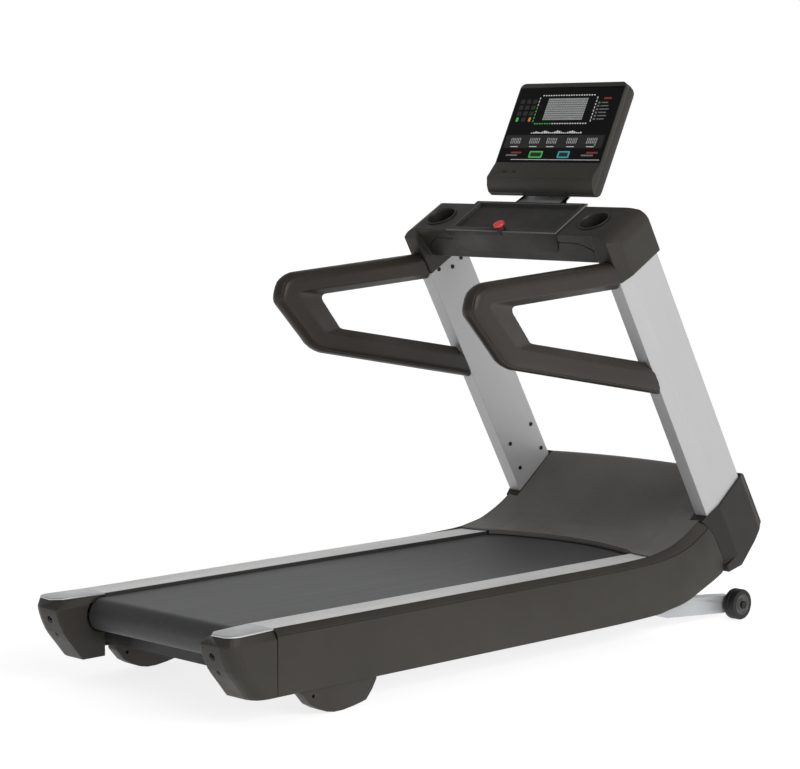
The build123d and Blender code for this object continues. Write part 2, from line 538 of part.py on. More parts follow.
# hollows
cavity = tsx([(13, deck_s - 4), (13, 160), (33, 76), (40, 70), (62, 66), (158, 66), (172.5, 71), (178, 84), (177.5, 138), (174, 155), (162, 168), (156, deck_s - 4)], -338, 338)
upper -= cavity
lower -= cavity
up_clear = up_extrude([(up_in - 0.8, -0.8), (up_out - ch_w + 0.5, -0.8), (up_out + 0.8, t_ch), (up_out + 0.8, up_depth - 8), (up_out - 5.5, up_depth + 0.8), (up_in + 5.5, up_depth + 0.8), (up_in - 0.8, up_depth - 8)], -10, 122)
for m in (lambda s: s, mirror_x):
    lower -= m(up_clear)
    upper -= m(up_clear)
    upper -= m(up_extrude([(356, 6), (396, 6), (396, 168), (356, 168)], 100, 150))
cup_x, cup_t, cup_r = 301.0, 83.0, 42.0
for sx in (-1, 1):
    hole = cyl(tsp(sx * cup_x, cup_t, 90), tsp(sx * cup_x, cup_t, 190), cup_r + 3.2)
    upper -= hole
    lower -= hole & tsx([(0, 84), (200, 84), (200, 200), (0, 200)], -500, 500)
es_t = 14.0
upper -= cyl(tsp(0, es_t, 167.9), tsp(0, es_t, 200), 13.3)
upper -= tsx([(15.2, 190), (15.2, 100), (161.8, 100), (161.8, 190)], -206, 206)
upper -= box(-92, 92, 430, 620, 1150, 1400) & tsx([(166, 100), (166, 200), (171.2, 200), (171.2, 100)], -92, 92)
lower -= tsx([(166, 110), (166, 200), (171.2, 200), (171.2, 110)], -92, 92)
save("console_upper_shell", upper)
save("console_lower_shell", lower)

for sx, nm in ((1, "right"), (-1, "left")):
    c = cyl(tsp(sx * cup_x, cup_t, 98), tsp(sx * cup_x, cup_t, deck_s), cup_r + 3) + cyl(tsp(sx * cup_x, cup_t, deck_s), tsp(sx * cup_x, cup_t, deck_s + 4), cup_r + 6.5)
    c -= cyl(tsp(sx * cup_x, cup_t, 101), tsp(sx * cup_x, cup_t, deck_s + 10), cup_r)
    save("cup_holder_" + nm, c)

tray = tsx([(3.9, deck_s + 0.02), (3.9, deck_s + 3.0), (5.4, deck_s + 4.6), (164, deck_s + 6.5), (166, deck_s + 5), (166, deck_s + 0.02)], -217, 217)
tray += tsx([(15.8, deck_s - 10), (15.8, deck_s + 1), (161.2, deck_s + 1), (161.2, deck_s - 10)], -205.4, 205.4)
tray -= tsx([(24, deck_s - 6.5), (24, deck_s + 20), (156, deck_s + 20), (156, deck_s - 6.5)], -200, 200)
# apron that folds down over the user's side of the console, narrower towards its foot
apron = tsx([(3.9, deck_s + 1), (3.9, 176.2), (6.4, 157.4), (20.35, 97.5), (22.8, 98.1), (8.93, 157.9), (6.42, 176.5), (6.42, deck_s + 1)], -217, 217)
half_outline = [(217, 190), (217, 176), (206, 146), (198, 126), (186, 110), (170, 100), (150, 97)]
outline = half_outline + [(-x_, s_) for x_, s_ in reversed(half_outline)]
apron_pl = Plane(origin=(0,) + ts(-20, 0), x_dir=(1, 0, 0), z_dir=(0, ct, st))
apron &= extrude(apron_pl * make_face(Polyline(*ccw([(x_, -s_) for x_, s_ in outline]), close=True)), amount=80)
tray += apron
tray -= cyl(tsp(0, es_t, 167.9), tsp(0, es_t, 200), 13.3)
save("accessory_tray", tray)

collar = cyl(tsp(0, es_t, 168), tsp(0, es_t, 190), 13)
collar = chamfer(collar.edges().filter_by(GeomType.CIRCLE).sort_by(Axis.Z)[-1], 1.5)
collar -= cyl(tsp(0, es_t, 171.5), tsp(0, es_t, 200), 8.6)
save("estop_collar", collar)
btn = cyl(tsp(0, es_t, 177), tsp(0, es_t, 197), 8.5) + cyl(tsp(0, es_t, 195.6), tsp(0, es_t, 203.5), 17)
btn = btn.solids()[0]
btn = fillet(btn.edges().filter_by(GeomType.CIRCLE).sort_by(Axis.Z)[-1:], 3.0)
save("estop_button", btn)

# ---------------------------------------------------------------- display
disp_half = 208.0
fz = lambda z: 523.0 + (z - 1376.0) * 0.493
split_back = 20.0
full = [(fz(1374), 1374.0), (484.5, 1332.0), (484.5, 1306.0), (490, 1288.0), (501, 1277.5), (511, 1276.5), (522, 1280.0), (531, 1292.0), (666, 1563.0), (670, 1575.0), (668.5, 1588.0), (660, 1601.0), (648, 1609.5), (641, 1611.0), (636.5, 1607.0)]
face_dir = Vector(0, 0.493, 1).normalized()
body_d = yz(full, -disp_half, disp_half)
# round the four corners in the plane of the screen
fn = Vector(0, 1, -0.493).normalized()
corner_pl = Plane(origin=(0, fz(1440), 1440), x_dir=(1, 0, 0), z_dir=(0, -1, 0.493))
with BuildSketch() as cs:
    with Locations((0, 0)):
        Rectangle(2 * disp_half, 600)
sq = sqrt(1 + 0.493**2)
v_lo, v_hi = (1312 - 1440) * sq - 38, (1611 - 1440) * sq + 2
rr = 22.0
with BuildSketch() as cs:
    with Locations((0, (v_lo + v_hi) / 2)):
        RectangleRounded(2 * disp_half, v_hi - v_lo, rr)
prism = extrude(corner_pl * cs.sketch, amount=120, both=True)
body_d = body_d & prism
cutp = yz([(fz(1200) + split_back, 1200), (fz(1700) + split_back, 1700), (900, 1700), (900, 1200)], -300, 300)
front_d = body_d - cutp
rear_d = body_d & yz([(fz(1200) + split_back + 0.02, 1200), (fz(1700) + split_back + 0.02, 1700), (900, 1700), (900, 1200)], -300, 300)
g0, g1 = 1376.0, 1597.0
gp = lambda z, d: (fz(z) + d * 0.8969, z - d * 0.4422)
glass_pocket = yz([gp(g0, -8), gp(g1, -8), gp(g1, 3.0), gp(g0, 3.0)], -204, 204)
front_d -= glass_pocket
front_d -= yz([gp(1322, 6), gp(1590, 6), gp(1590, 30), gp(1322, 30)], -196, 196)
front_d -= yz([gp(1384, 2), gp(1584, 2), gp(1584, 30), gp(1384, 30)], -190, 190)
for x0, x1 in ((-158, -136), (-118, -104)):
    front_d -= box(x0, x1, 470, 503, 1345, 1350)
save("display_front_bezel", front_d)
rear_d -= yz([gp(1305, 15), gp(1585, 15), gp(1580, 33), gp(1310, 30)], -196, 196)
neck_slot = yz([(495, 1200), (512, 1200), (548, 1300), (560, 1330), (545, 1330), (530, 1300)], -94, 94)
glass = yz([gp(g0 + 0.5, 0.3), gp(g1 - 0.5, 0.3), gp(g1 - 0.5, 2.9), gp(g0 + 0.5, 2.9)], -203.5, 203.5)
save("display_glass", glass)
# neck: folded steel plate between the console and the rear of the display
n_lo = [ts(166.5, 100), ts(170.7, 100)]
neck_pts = [ts(166.5, 112), ts(170.7, 112), ts(170.7, 168), (517.0, 1265.0), (550.0, 1290.0), (573.0, 1336.0), (567.0, 1336.0), (545.5, 1292.5), (513.0, 1268.0), ts(166.5, 170)]
neck = yz(neck_pts, -88, 88)
mount_plate = yz([(567.5, 1325), (606, 1402), (612, 1399), (573.5, 1322)], -88, 88)
neck += mount_plate
rear_d -= yz([(500, 1200), (500, 1270), (520, 1282), (530.5, 1291), (531, 1230)], -92, 92)
save("display_neck", neck)
save("display_rear_housing", rear_d)

# ---------------------------------------------------------------- handles
back = lambda z, d=0.0: up_y + (up_z - z) * st / ct - d
ho = [(back(1101, 0.2), 1101.0), (-128, 1066.5), (-154, 1064), (-173, 1058), (-190, 1048), (-199.5, 1039), (-207, 1025), (-213.5, 1003), (-214.5, 990), (-211.5, 977), (-203, 966.8), (-114, 873.8), (-95, 852.5), (-77, 839.5), (-59, 830.8), (-43, 825), (574, 715), (back(712, 0.2), 712.0)]
gap = [(-9, 1001), (back(1025, -30), 1025.5), (back(812, -30), 812), (92, 880.5), (80, 882), (66, 885), (44, 895), (-26, 970), (-33, 979), (-34, 988), (-29, 995), (-20, 999.5)]


def shrink(pts, d):
    """Moves the free outline inwards; the first and last points stay on the upright."""
    out = []
    n = len(pts)
    for i, p in enumerate(pts):
        a, b = pts[max(i - 1, 0)], pts[min(i + 1, n - 1)]
        tx, tz = b[0] - a[0], b[1] - a[1]
        L = sqrt(tx * tx + tz * tz)
        out.append((p[0] - tz / L * d, p[1] + tx / L * d))
    return out


hx0, hx1 = handle_x - handle_t / 2, handle_x + handle_t / 2
ho_long = [(ho[0][0] + 30, ho[0][1] + 2)] + ho[1:-1] + [(ho[-1][0] + 30, ho[-1][1] - 5)]
# the outer rim is a full round
half_t = handle_t / 2
soft = [(half_t * (1 - cos(radians(an))), half_t * (1 - sin(radians(an)))) for an in (0, 15, 30, 45, 60, 75)]
layers = [(hx0 + dx, din) for dx, din in soft] + [(handle_x, 0.0)] + [(hx1 - dx, din) for dx, din in reversed(soft)]
body = sections([[(x, y, z) for y, z in shrink(ho_long, din)] for x, din in layers])
# opening: at the outer and inner faces its edge stands wide of the gap, and flat flanks run down to the middle
face_edge = [(-140, 1009.5), (-149, 1004), (-146, 994), (-46, 889), (-36, 883.5), (600, 767), (600, 900), (440, 1045.5)]
gap_edge = [(-25, 995.5), (-34, 990), (-32, 979), (38, 894), (50, 890), (600, 797), (600, 900), (440, 1027)]
k0, k1 = 3.5, handle_t / 2
ext = lambda f: [(g_[0] + (e_[0] - g_[0]) * f, g_[1] + (e_[1] - g_[1]) * f) for e_, g_ in zip(face_edge, gap_edge)]
flank_a = sections([[(handle_x + k0, y, z) for y, z in gap_edge], [(handle_x + k1 + 2, y, z) for y, z in ext((k1 + 2 - k0) / (k1 - k0))]])
flank_b = sections([[(handle_x - k0, y, z) for y, z in gap_edge], [(handle_x - k1 - 2, y, z) for y, z in ext((k1 + 2 - k0) / (k1 - k0))]])
core = yz(gap_edge, handle_x - k0 - 0.5, handle_x + k0 + 0.5)
limit = yz([(back(1200, 0.2), 1200), (back(600, 0.2), 600), (-400, 600), (-400, 1200)], hx0 - 5, hx1 + 5)
ear_clear = tsx([(-3.3, 22), (-3.3, 200), (60, 200), (60, 22)], 300, 450)
groove = yz(shrink(ho_long, -3), handle_x - 18.9, handle_x + 18.9) - yz(shrink(ho_long, 10.0), hx0 - 5, hx1 + 5)
grip = (body & limit) - core - flank_a - flank_b - ear_clear - groove
rim = (body & (yz(shrink(ho_long, -3), handle_x - 18.5, handle_x + 18.5) - yz(shrink(ho_long, 9.6), hx0 - 5, hx1 + 5))) & limit
rim -= ear_clear
save("handle_right", grip)
save("handle_left", mirror_x(grip))
save("handle_rim_right", rim)
save("handle_rim_left", mirror_x(rim))

# ---------------------------------------------------------------- screws of the uprights
sc = []
for y, z in [(844, 546), (749, 491), (893, 466), (795, 411), (428, 1052), (487, 1058), (524, 1084)]:
    for s in (-1, 1):
        b = cyl((s * (up_in - 2.2), y, z), (s * up_in, y, z), 6.5) - cyl((s * (up_in - 3), y, z), (s * (up_in - 0.9), y, z), 3.0)
        sc.append(b)
save("upright_screws", group(sc))
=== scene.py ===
import json
import math
from math import acos, atan2, cos, pi, radians, sin, sqrt, tan

import bmesh
import bpy
from mathutils import Matrix, Vector


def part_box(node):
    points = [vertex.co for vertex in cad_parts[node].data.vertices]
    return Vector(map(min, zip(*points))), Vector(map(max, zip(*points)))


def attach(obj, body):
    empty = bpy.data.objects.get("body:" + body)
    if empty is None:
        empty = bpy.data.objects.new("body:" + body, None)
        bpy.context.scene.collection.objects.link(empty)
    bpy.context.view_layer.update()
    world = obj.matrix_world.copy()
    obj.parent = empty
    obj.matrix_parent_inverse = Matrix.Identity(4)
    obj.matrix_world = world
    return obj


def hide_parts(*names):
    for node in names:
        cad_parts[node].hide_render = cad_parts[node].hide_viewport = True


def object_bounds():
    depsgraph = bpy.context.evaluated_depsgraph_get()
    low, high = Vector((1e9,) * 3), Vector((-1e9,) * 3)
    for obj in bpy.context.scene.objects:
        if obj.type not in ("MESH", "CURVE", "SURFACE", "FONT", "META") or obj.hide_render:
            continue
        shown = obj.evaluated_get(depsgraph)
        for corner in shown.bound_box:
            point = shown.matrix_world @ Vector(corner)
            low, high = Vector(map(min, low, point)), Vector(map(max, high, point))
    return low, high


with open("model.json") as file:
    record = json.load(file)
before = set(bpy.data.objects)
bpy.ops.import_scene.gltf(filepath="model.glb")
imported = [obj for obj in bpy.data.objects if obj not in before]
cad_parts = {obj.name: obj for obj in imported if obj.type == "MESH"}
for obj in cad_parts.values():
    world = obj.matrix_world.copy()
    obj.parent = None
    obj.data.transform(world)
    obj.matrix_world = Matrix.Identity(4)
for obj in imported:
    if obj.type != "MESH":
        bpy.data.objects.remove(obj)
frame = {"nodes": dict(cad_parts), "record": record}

cad_lo, cad_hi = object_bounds()
scene = bpy.context.scene
nodes = frame["nodes"]

# The design's own working frame is in millimetres, with Y measured from its own zero: SHY is where that zero lies.
rl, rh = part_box("rear_roller")
SHY = (rl.y + rh.y) / 2 * 1000 + 914.0


def P(x, y, z):
    return Vector((x / 1000, (y + SHY) / 1000, z / 1000))


TILT = 29.94
ST, CT = sin(radians(TILT)), cos(radians(TILT))


def TS(x, t, s):
    """A point given across (t) and along (s) the uprights."""
    return P(x, 404.0 + t * CT - s * ST, 1020.0 + t * ST + s * CT)


# ------------------------------------------------------------------ materials
def srgb(r, g, b):
    f = lambda c: c / 12.92 if c <= 0.04045 else ((c + 0.055) / 1.055) ** 2.4
    return tuple(f(v / 255) for v in (r, g, b)) + (1.0,)


class Mat:
    """A small writer of node materials. Coordinates are the piece's own, in metres."""

    def __init__(self, name):
        self.m = bpy.data.materials.new(name)
        self.m.use_nodes = True
        self.t = self.m.node_tree
        self.t.nodes.clear()
        out = self.t.nodes.new("ShaderNodeOutputMaterial")
        self.b = self.t.nodes.new("ShaderNodeBsdfPrincipled")
        self.t.links.new(self.b.outputs[0], out.inputs[0])
        self.co = self.t.nodes.new("ShaderNodeTexCoord").outputs["Object"]

    def put(self, v, socket):
        if hasattr(v, "is_linked"):
            self.t.links.new(v, socket)
        else:
            socket.default_value = v

    def map(self, scale=(1, 1, 1), rot=(0, 0, 0), vec=None):
        n = self.t.nodes.new("ShaderNodeMapping")
        n.inputs["Scale"].default_value = scale
        n.inputs["Rotation"].default_value = rot
        self.put(vec or self.co, n.inputs["Vector"])
        return n.outputs[0]

    def noise(self, scale, detail=2.0, rough=0.5, vec=None, dist=0.0):
        n = self.t.nodes.new("ShaderNodeTexNoise")
        n.inputs["Scale"].default_value = scale
        n.inputs["Detail"].default_value = detail
        n.inputs["Roughness"].default_value = rough
        n.inputs["Distortion"].default_value = dist
        self.put(vec or self.co, n.inputs["Vector"])
        return n.outputs[0]

    def voronoi(self, scale, vec=None, feature="F1", rand=1.0):
        n = self.t.nodes.new("ShaderNodeTexVoronoi")
        n.feature = feature
        n.inputs["Scale"].default_value = scale
        n.inputs["Randomness"].default_value = rand
        self.put(vec or self.co, n.inputs["Vector"])
        return n.outputs["Distance"]

    def wave(self, scale, axis="X", vec=None, dist=0.0):
        n = self.t.nodes.new("ShaderNodeTexWave")
        n.wave_type = "BANDS"
        n.bands_direction = axis
        n.inputs["Scale"].default_value = scale
        n.inputs["Distortion"].default_value = dist
        self.put(vec or self.co, n.inputs["Vector"])
        return n.outputs["Fac"] if "Fac" in n.outputs else n.outputs[1]

    def rng(self, v, f0, f1, t0, t1, smooth=False):
        n = self.t.nodes.new("ShaderNodeMapRange")
        n.interpolation_type = "SMOOTHSTEP" if smooth else "LINEAR"
        for k, x in zip(("From Min", "From Max", "To Min", "To Max"), (f0, f1, t0, t1)):
            n.inputs[k].default_value = x
        self.put(v, n.inputs["Value"])
        return n.outputs[0]

    def math(self, op, a, b=0.0, clamp=False):
        n = self.t.nodes.new("ShaderNodeMath")
        n.operation = op
        n.use_clamp = clamp
        self.put(a, n.inputs[0])
        self.put(b, n.inputs[1])
        return n.outputs[0]

    def mix(self, fac, a, b, mode="MIX"):
        n = self.t.nodes.new("ShaderNodeMix")
        n.data_type = "RGBA"
        n.blend_type = mode
        self.put(fac, n.inputs[0])
        self.put(a, n.inputs[6])
        self.put(b, n.inputs[7])
        return n.outputs[2]

    def xyz(self, vec=None):
        n = self.t.nodes.new("ShaderNodeSeparateXYZ")
        self.put(vec or self.co, n.inputs[0])
        return n.outputs

    def up(self):
        """How much the surface looks upwards, from 0 to 1."""
        g = self.t.nodes.new("ShaderNodeNewGeometry")
        n = self.t.nodes.new("ShaderNodeSeparateXYZ")
        self.put(g.outputs["Normal"], n.inputs[0])
        return self.rng(n.outputs[2], 0.2, 1.0, 0.0, 1.0)

    def bump(self, height, strength, distance, below=None):
        n = self.t.nodes.new("ShaderNodeBump")
        n.inputs["Strength"].default_value = strength
        n.inputs["Distance"].default_value = distance
        self.put(height, n.inputs["Height"])
        if below is not None:
            self.put(below, n.inputs["Normal"])
        return n.outputs[0]

    def done(self, colour, rough, normal=None, metallic=0.0, **fixed):
        self.put(colour, self.b.inputs["Base Color"])
        self.put(rough, self.b.inputs["Roughness"])
        self.put(metallic, self.b.inputs["Metallic"])
        if normal is not None:
            self.put(normal, self.b.inputs["Normal"])
        for k, v in fixed.items():
            self.b.inputs[k.replace("_", " ")].default_value = v
        return self.m


def moulded(name, dark, light, r0=0.36, r1=0.5, grain=1100.0, depth=0.00012, dust=0.10, strength=0.35, spec=0.45):
    """Grained injection-moulded plastic: leather-like grain, faint flow marks, a little dust on top faces."""
    m = Mat(name)
    blotch = m.noise(3.2, 3.0, 0.55)
    fine = m.noise(260.0, 2.0, 0.6)
    col = m.mix(m.rng(blotch, 0.3, 0.7, 0.0, 1.0), dark, light)
    col = m.mix(m.rng(fine, 0.35, 0.65, 0.0, 0.16), col, tuple(min(1, c * 1.9) for c in light[:3]) + (1,))
    dusty = m.math("MULTIPLY", m.up(), m.rng(m.noise(9.0, 4.0, 0.65), 0.42, 0.75, 0.0, dust))
    col = m.mix(dusty, col, srgb(150, 144, 136))
    rough = m.math("ADD", m.rng(m.noise(14.0, 3.0, 0.6), 0.3, 0.7, r0, r1), m.rng(fine, 0.3, 0.7, -0.03, 0.03))
    cells = m.voronoi(grain)
    nrm = m.bump(cells, strength, depth)
    nrm = m.bump(m.noise(grain * 0.35, 2.0, 0.5), strength * 0.6, depth * 1.5, nrm)
    return m.done(col, rough, nrm, Specular_IOR_Level=spec)


def brushed(name, c0, c1, along=(0, 0, 0), r0=0.26, r1=0.42, metallic=0.95, stretch=(900, 6, 900), strength=0.25, depth=0.00004, wear=0.3):
    """Brushed or anodised metal. along turns the brushing direction, which is Y before that."""
    m = Mat(name)
    turned = m.map(rot=along)
    lines = m.noise(1.0, 3.0, 0.7, m.map(scale=stretch, vec=turned))
    broad = m.noise(2.2, 3.0, 0.5)
    col = m.mix(m.rng(lines, 0.3, 0.7, 0.0, 1.0), c0, c1)
    scuff = m.math("MULTIPLY", m.rng(m.noise(35.0, 5.0, 0.7), 0.55, 0.75, 0.0, 1.0), wear)
    col = m.mix(scuff, col, tuple(c * 0.72 for c in c0[:3]) + (1,))
    rough = m.math("ADD", m.rng(lines, 0.25, 0.75, r0, r1), m.rng(broad, 0.3, 0.7, -0.04, 0.05))
    nrm = m.bump(lines, strength, depth)
    return m.done(col, rough, nrm, metallic, Anisotropic=0.35)


def coated(name, dark, light, r0=0.38, r1=0.52, peel=520.0, strength=0.16, metallic=0.0, coat=0.0, speck=0.12):
    """Powder-coated steel with a fine orange peel and small specks."""
    m = Mat(name)
    base = m.mix(m.rng(m.noise(5.0, 3.0, 0.5), 0.3, 0.7, 0.0, 1.0), dark, light)
    speckle = m.rng(m.noise(1500.0, 1.0, 0.5), 0.62, 0.7, 0.0, speck)
    col = m.mix(speckle, base, tuple(min(1, c * 1.6 + 0.01) for c in light[:3]) + (1,))
    rough = m.rng(m.noise(22.0, 3.0, 0.6), 0.3, 0.7, r0, r1)
    nrm = m.bump(m.noise(peel, 2.0, 0.45), strength, 0.0001)
    return m.done(col, rough, nrm, metallic, Coat_Weight=coat, Coat_Roughness=0.25)


def rubbery(name, dark, light, r0=0.62, r1=0.8, grain=700.0, strength=0.5):
    m = Mat(name)
    col = m.mix(m.rng(m.noise(18.0, 4.0, 0.6), 0.3, 0.7, 0.0, 1.0), dark, light)
    rough = m.rng(m.noise(40.0, 3.0, 0.6), 0.3, 0.7, r0, r1)
    nrm = m.bump(m.noise(grain, 3.0, 0.6), strength, 0.00012)
    return m.done(col, rough, nrm, Specular_IOR_Level=0.35)


def belt_material():
    """Running surface: woven PVC with a fine diamond emboss, rubbed a little lighter where feet land; painted shade
    darkens it towards the front under the hood and around the rear roller.
    """
    m = Mat("belt_weave_and_painted_shade")
    x, y, z = m.xyz()[:3]
    diag_a = m.wave(170.0, "X", m.map(rot=(0, 0, radians(45))))
    diag_b = m.wave(170.0, "Y", m.map(rot=(0, 0, radians(45))))
    weave = m.math("MULTIPLY", diag_a, diag_b)
    fine = m.noise(900.0, 2.0, 0.6)
    streak = m.noise(1.0, 4.0, 0.6, m.map(scale=(60, 1.6, 60)))
    track = m.rng(m.math("ABSOLUTE", x), 0.03, 0.24, 1.0, 0.0, True)
    rub = m.math("MULTIPLY", track, m.rng(m.noise(6.0, 5.0, 0.65), 0.38, 0.72, 0.0, 1.0))
    col = m.mix(m.rng(streak, 0.3, 0.7, 0.0, 1.0), srgb(92, 93, 94), srgb(106, 107, 108))
    col = m.mix(m.rng(weave, 0.0, 1.0, 0.0, 0.30), col, srgb(84, 85, 87))
    col = m.mix(m.math("MULTIPLY", rub, 0.30), col, srgb(104, 104, 104))
    col = m.mix(m.rng(fine, 0.55, 0.75, 0.0, 0.22), col, srgb(120, 120, 120))
    # Painted shade: the belt darkens towards the front, under the hood.
    col = m.mix(m.rng(y, -0.25, 0.5, 0.0, 0.85, True), col, srgb(38, 39, 40))
    # Painted shade: darker still where the belt turns round the rear roller.
    col = m.mix(m.rng(y, -0.905, -0.93, 0.0, 0.75, True), col, srgb(18, 18, 19))
    rough = m.rng(weave, 0.0, 1.0, 0.62, 0.46)
    nrm = m.bump(weave, 0.35, 0.00025)
    nrm = m.bump(fine, 0.25, 0.00012, nrm)
    return m.done(col, rough, nrm, Specular_IOR_Level=0.5)


def rail_material():
    """Anodised foot rail: brushed along its length, darkened below the top of its long grooves as painted shade."""
    m = Mat("rail_anodised")
    x, y, z = m.xyz()[:3]
    lines = m.noise(1.0, 3.0, 0.7, m.map(scale=(900, 6, 900)))
    col = m.mix(m.rng(lines, 0.3, 0.7, 0.0, 1.0), srgb(222, 222, 221), srgb(242, 242, 241))
    # Painted shade: the rail is darkened below the top of its long grooves, standing for the shade in them.
    painted_groove_shade = m.rng(z, 0.2394, 0.2407, 1.0, 0.0)
    col = m.mix(painted_groove_shade, col, srgb(62, 61, 59))
    rough = m.rng(lines, 0.25, 0.75, 0.36, 0.52)
    return m.done(col, rough, m.bump(lines, 0.25, 0.00004), 0.4, Anisotropic=0.35)


def glass_material():
    m = Mat("screen_glass")
    smear = m.noise(14.0, 5.0, 0.6, m.map(scale=(1.0, 1.0, 3.0)))
    dots = m.voronoi(520.0, rand=0.1)
    col = m.mix(m.rng(dots, 0.1, 0.6, 0.0, 0.25), srgb(3, 3, 4), srgb(7, 7, 8))
    rough = m.rng(smear, 0.35, 0.75, 0.10, 0.19)
    return m.done(col, rough, m.bump(smear, 0.02, 0.0001), Coat_Weight=0.0, Coat_Roughness=0.05, Specular_IOR_Level=0.12)


def print_ink(name, colour, glow=0.0):
    """Screen print or lit segments behind the glass: a faint raster breaks up the colour."""
    m = Mat(name)
    raster = m.math("MULTIPLY", m.wave(420.0, "X"), m.wave(420.0, "Z"))
    dim = tuple(c * 0.45 for c in colour[:3]) + (1,)
    col = m.mix(m.rng(raster, 0.0, 0.6, 0.0, 1.0), dim, colour)
    col = m.mix(m.rng(m.noise(90.0, 2.0, 0.5), 0.3, 0.7, 0.0, 0.35), col, dim)
    made = m.done(col, 0.5, m.bump(raster, 0.1, 0.00005))
    if glow:
        m.put(col, m.b.inputs["Emission Color"])
        m.b.inputs["Emission Strength"].default_value = glow
    return made


BROWN = moulded("brown_moulding", srgb(44, 41, 37), srgb(52, 49, 44), dust=0.03, spec=0.26)
# A lighter copy of the brown moulding, used on the hood and its lip: painted light.
HOOD_PAINTED_LIGHT = moulded("hood_moulding_painted_light", srgb(92, 90, 87), srgb(106, 104, 100), 0.34, 0.46, dust=0.03, spec=0.35)
# A darker copy of the brown moulding, used on the upright boots: painted shade.
BOOT_PAINTED_SHADE = moulded("boot_moulding_painted_shade", srgb(32, 30, 27), srgb(39, 37, 33), dust=0.03, spec=0.26)
# A much lighter copy of the tray moulding for the tray rim's edges: a painted highlight.
TRAY_RIM_PAINTED_HIGHLIGHT = moulded("tray_rim_painted_highlight", srgb(92, 90, 87), srgb(108, 106, 102), 0.34, 0.46, 1400.0, 0.0001, 0.03, 0.3)
BROWN_GRIP = moulded("grip_moulding", srgb(40, 36, 32), srgb(48, 43, 38), 0.30, 0.42, 900.0, 0.0001, 0.03, 0.25, 0.26)
BROWN_DARK = moulded("dark_moulding", srgb(34, 31, 28), srgb(43, 39, 36), 0.4, 0.55, 1000.0, 0.00014, 0.06)
BLACK_P = moulded("black_moulding", srgb(24, 23, 23), srgb(33, 32, 31), 0.42, 0.58, 1000.0, 0.00012, 0.05)
TRAY = moulded("tray_moulding", srgb(33, 32, 31), srgb(44, 42, 41), 0.5, 0.62, 1400.0, 0.00018, 0.08, 0.5)
BEZEL = moulded("bezel_moulding", srgb(43, 41, 35), srgb(52, 49, 43), 0.36, 0.48, 1300.0, 0.00008, 0.03, 0.25, 0.3)
ALU = rail_material()
PLATE = brushed("cap_plate_brushed", srgb(184, 185, 186), srgb(212, 213, 214), metallic=0.75, r0=0.3, r1=0.46)
UPRIGHT = brushed("upright_satin", srgb(180, 180, 181), srgb(187, 187, 188), along=(radians(-TILT - 90), 0, 0), r0=0.42, r1=0.54, metallic=0.35,
                  stretch=(700, 5, 700), strength=0.05, depth=0.00002, wear=0.02)
ARM = coated("arm_silver_paint", srgb(168, 169, 171), srgb(186, 187, 189), 0.34, 0.46, 600.0, 0.12, 0.4, 0.2)
NECK = coated("neck_silver_paint", srgb(176, 177, 180), srgb(192, 193, 196), 0.34, 0.44, 600.0, 0.12, 0.4, 0.2)
STEEL_B = coated("black_powder_coat", srgb(20, 20, 21), srgb(28, 28, 29))
STEEL = brushed("turned_steel", srgb(150, 151, 153), srgb(190, 191, 193), along=(0, 0, radians(90)), metallic=1.0, r0=0.2, r1=0.34, stretch=(1200, 14, 1200), wear=0.25)
BOLT = brushed("zinc_steel", srgb(120, 121, 123), srgb(158, 159, 161), metallic=1.0, r0=0.28, r1=0.42, stretch=(500, 300, 500), wear=0.35)
# Bolt steel darkened to stand for the shade in the holes the bolts sit in: painted shade.
BOLT_PAINTED_SHADE = brushed("bolt_steel_painted_shade", srgb(34, 34, 35), srgb(52, 52, 53), metallic=0.8, r0=0.4, r1=0.55, stretch=(500, 300, 500), wear=0.2)
RUBBER = rubbery("black_rubber", srgb(18, 18, 18), srgb(28, 28, 28))
TYRE = rubbery("tyre_polyurethane", srgb(26, 25, 25), srgb(36, 35, 34), 0.5, 0.66, 500.0, 0.4)
HUB = moulded("hub_moulding", srgb(58, 57, 55), srgb(74, 73, 70), 0.4, 0.52, 900.0, 0.0001, 0.05)
BELT = belt_material()
GLASS = glass_material()
MOTOR = coated("motor_enamel", srgb(44, 47, 52), srgb(58, 62, 68), 0.3, 0.42, 300.0, 0.3)
BOARD = coated("circuit_board", srgb(18, 66, 40), srgb(26, 86, 52), 0.35, 0.5, 900.0, 0.4, speck=0.6)
PHENOL = moulded("deck_phenolic", srgb(48, 40, 34), srgb(66, 55, 46), 0.3, 0.45, 500.0, 0.0001, 0.0)
RED = moulded("estop_red", srgb(220, 44, 58), srgb(234, 58, 70), 0.2, 0.3, 700.0, 0.00004, 0.0, 0.12, 0.6)


# ------------------------------------------------------------------ mesh helpers
def make(name, verts, faces, mats, body, stands_for=(), sharp=32, face_mats=None):
    me = bpy.data.meshes.new(name)
    me.from_pydata([tuple(v) for v in verts], [], faces)
    return finish_mesh(name, me, mats, body, stands_for, sharp, face_mats)


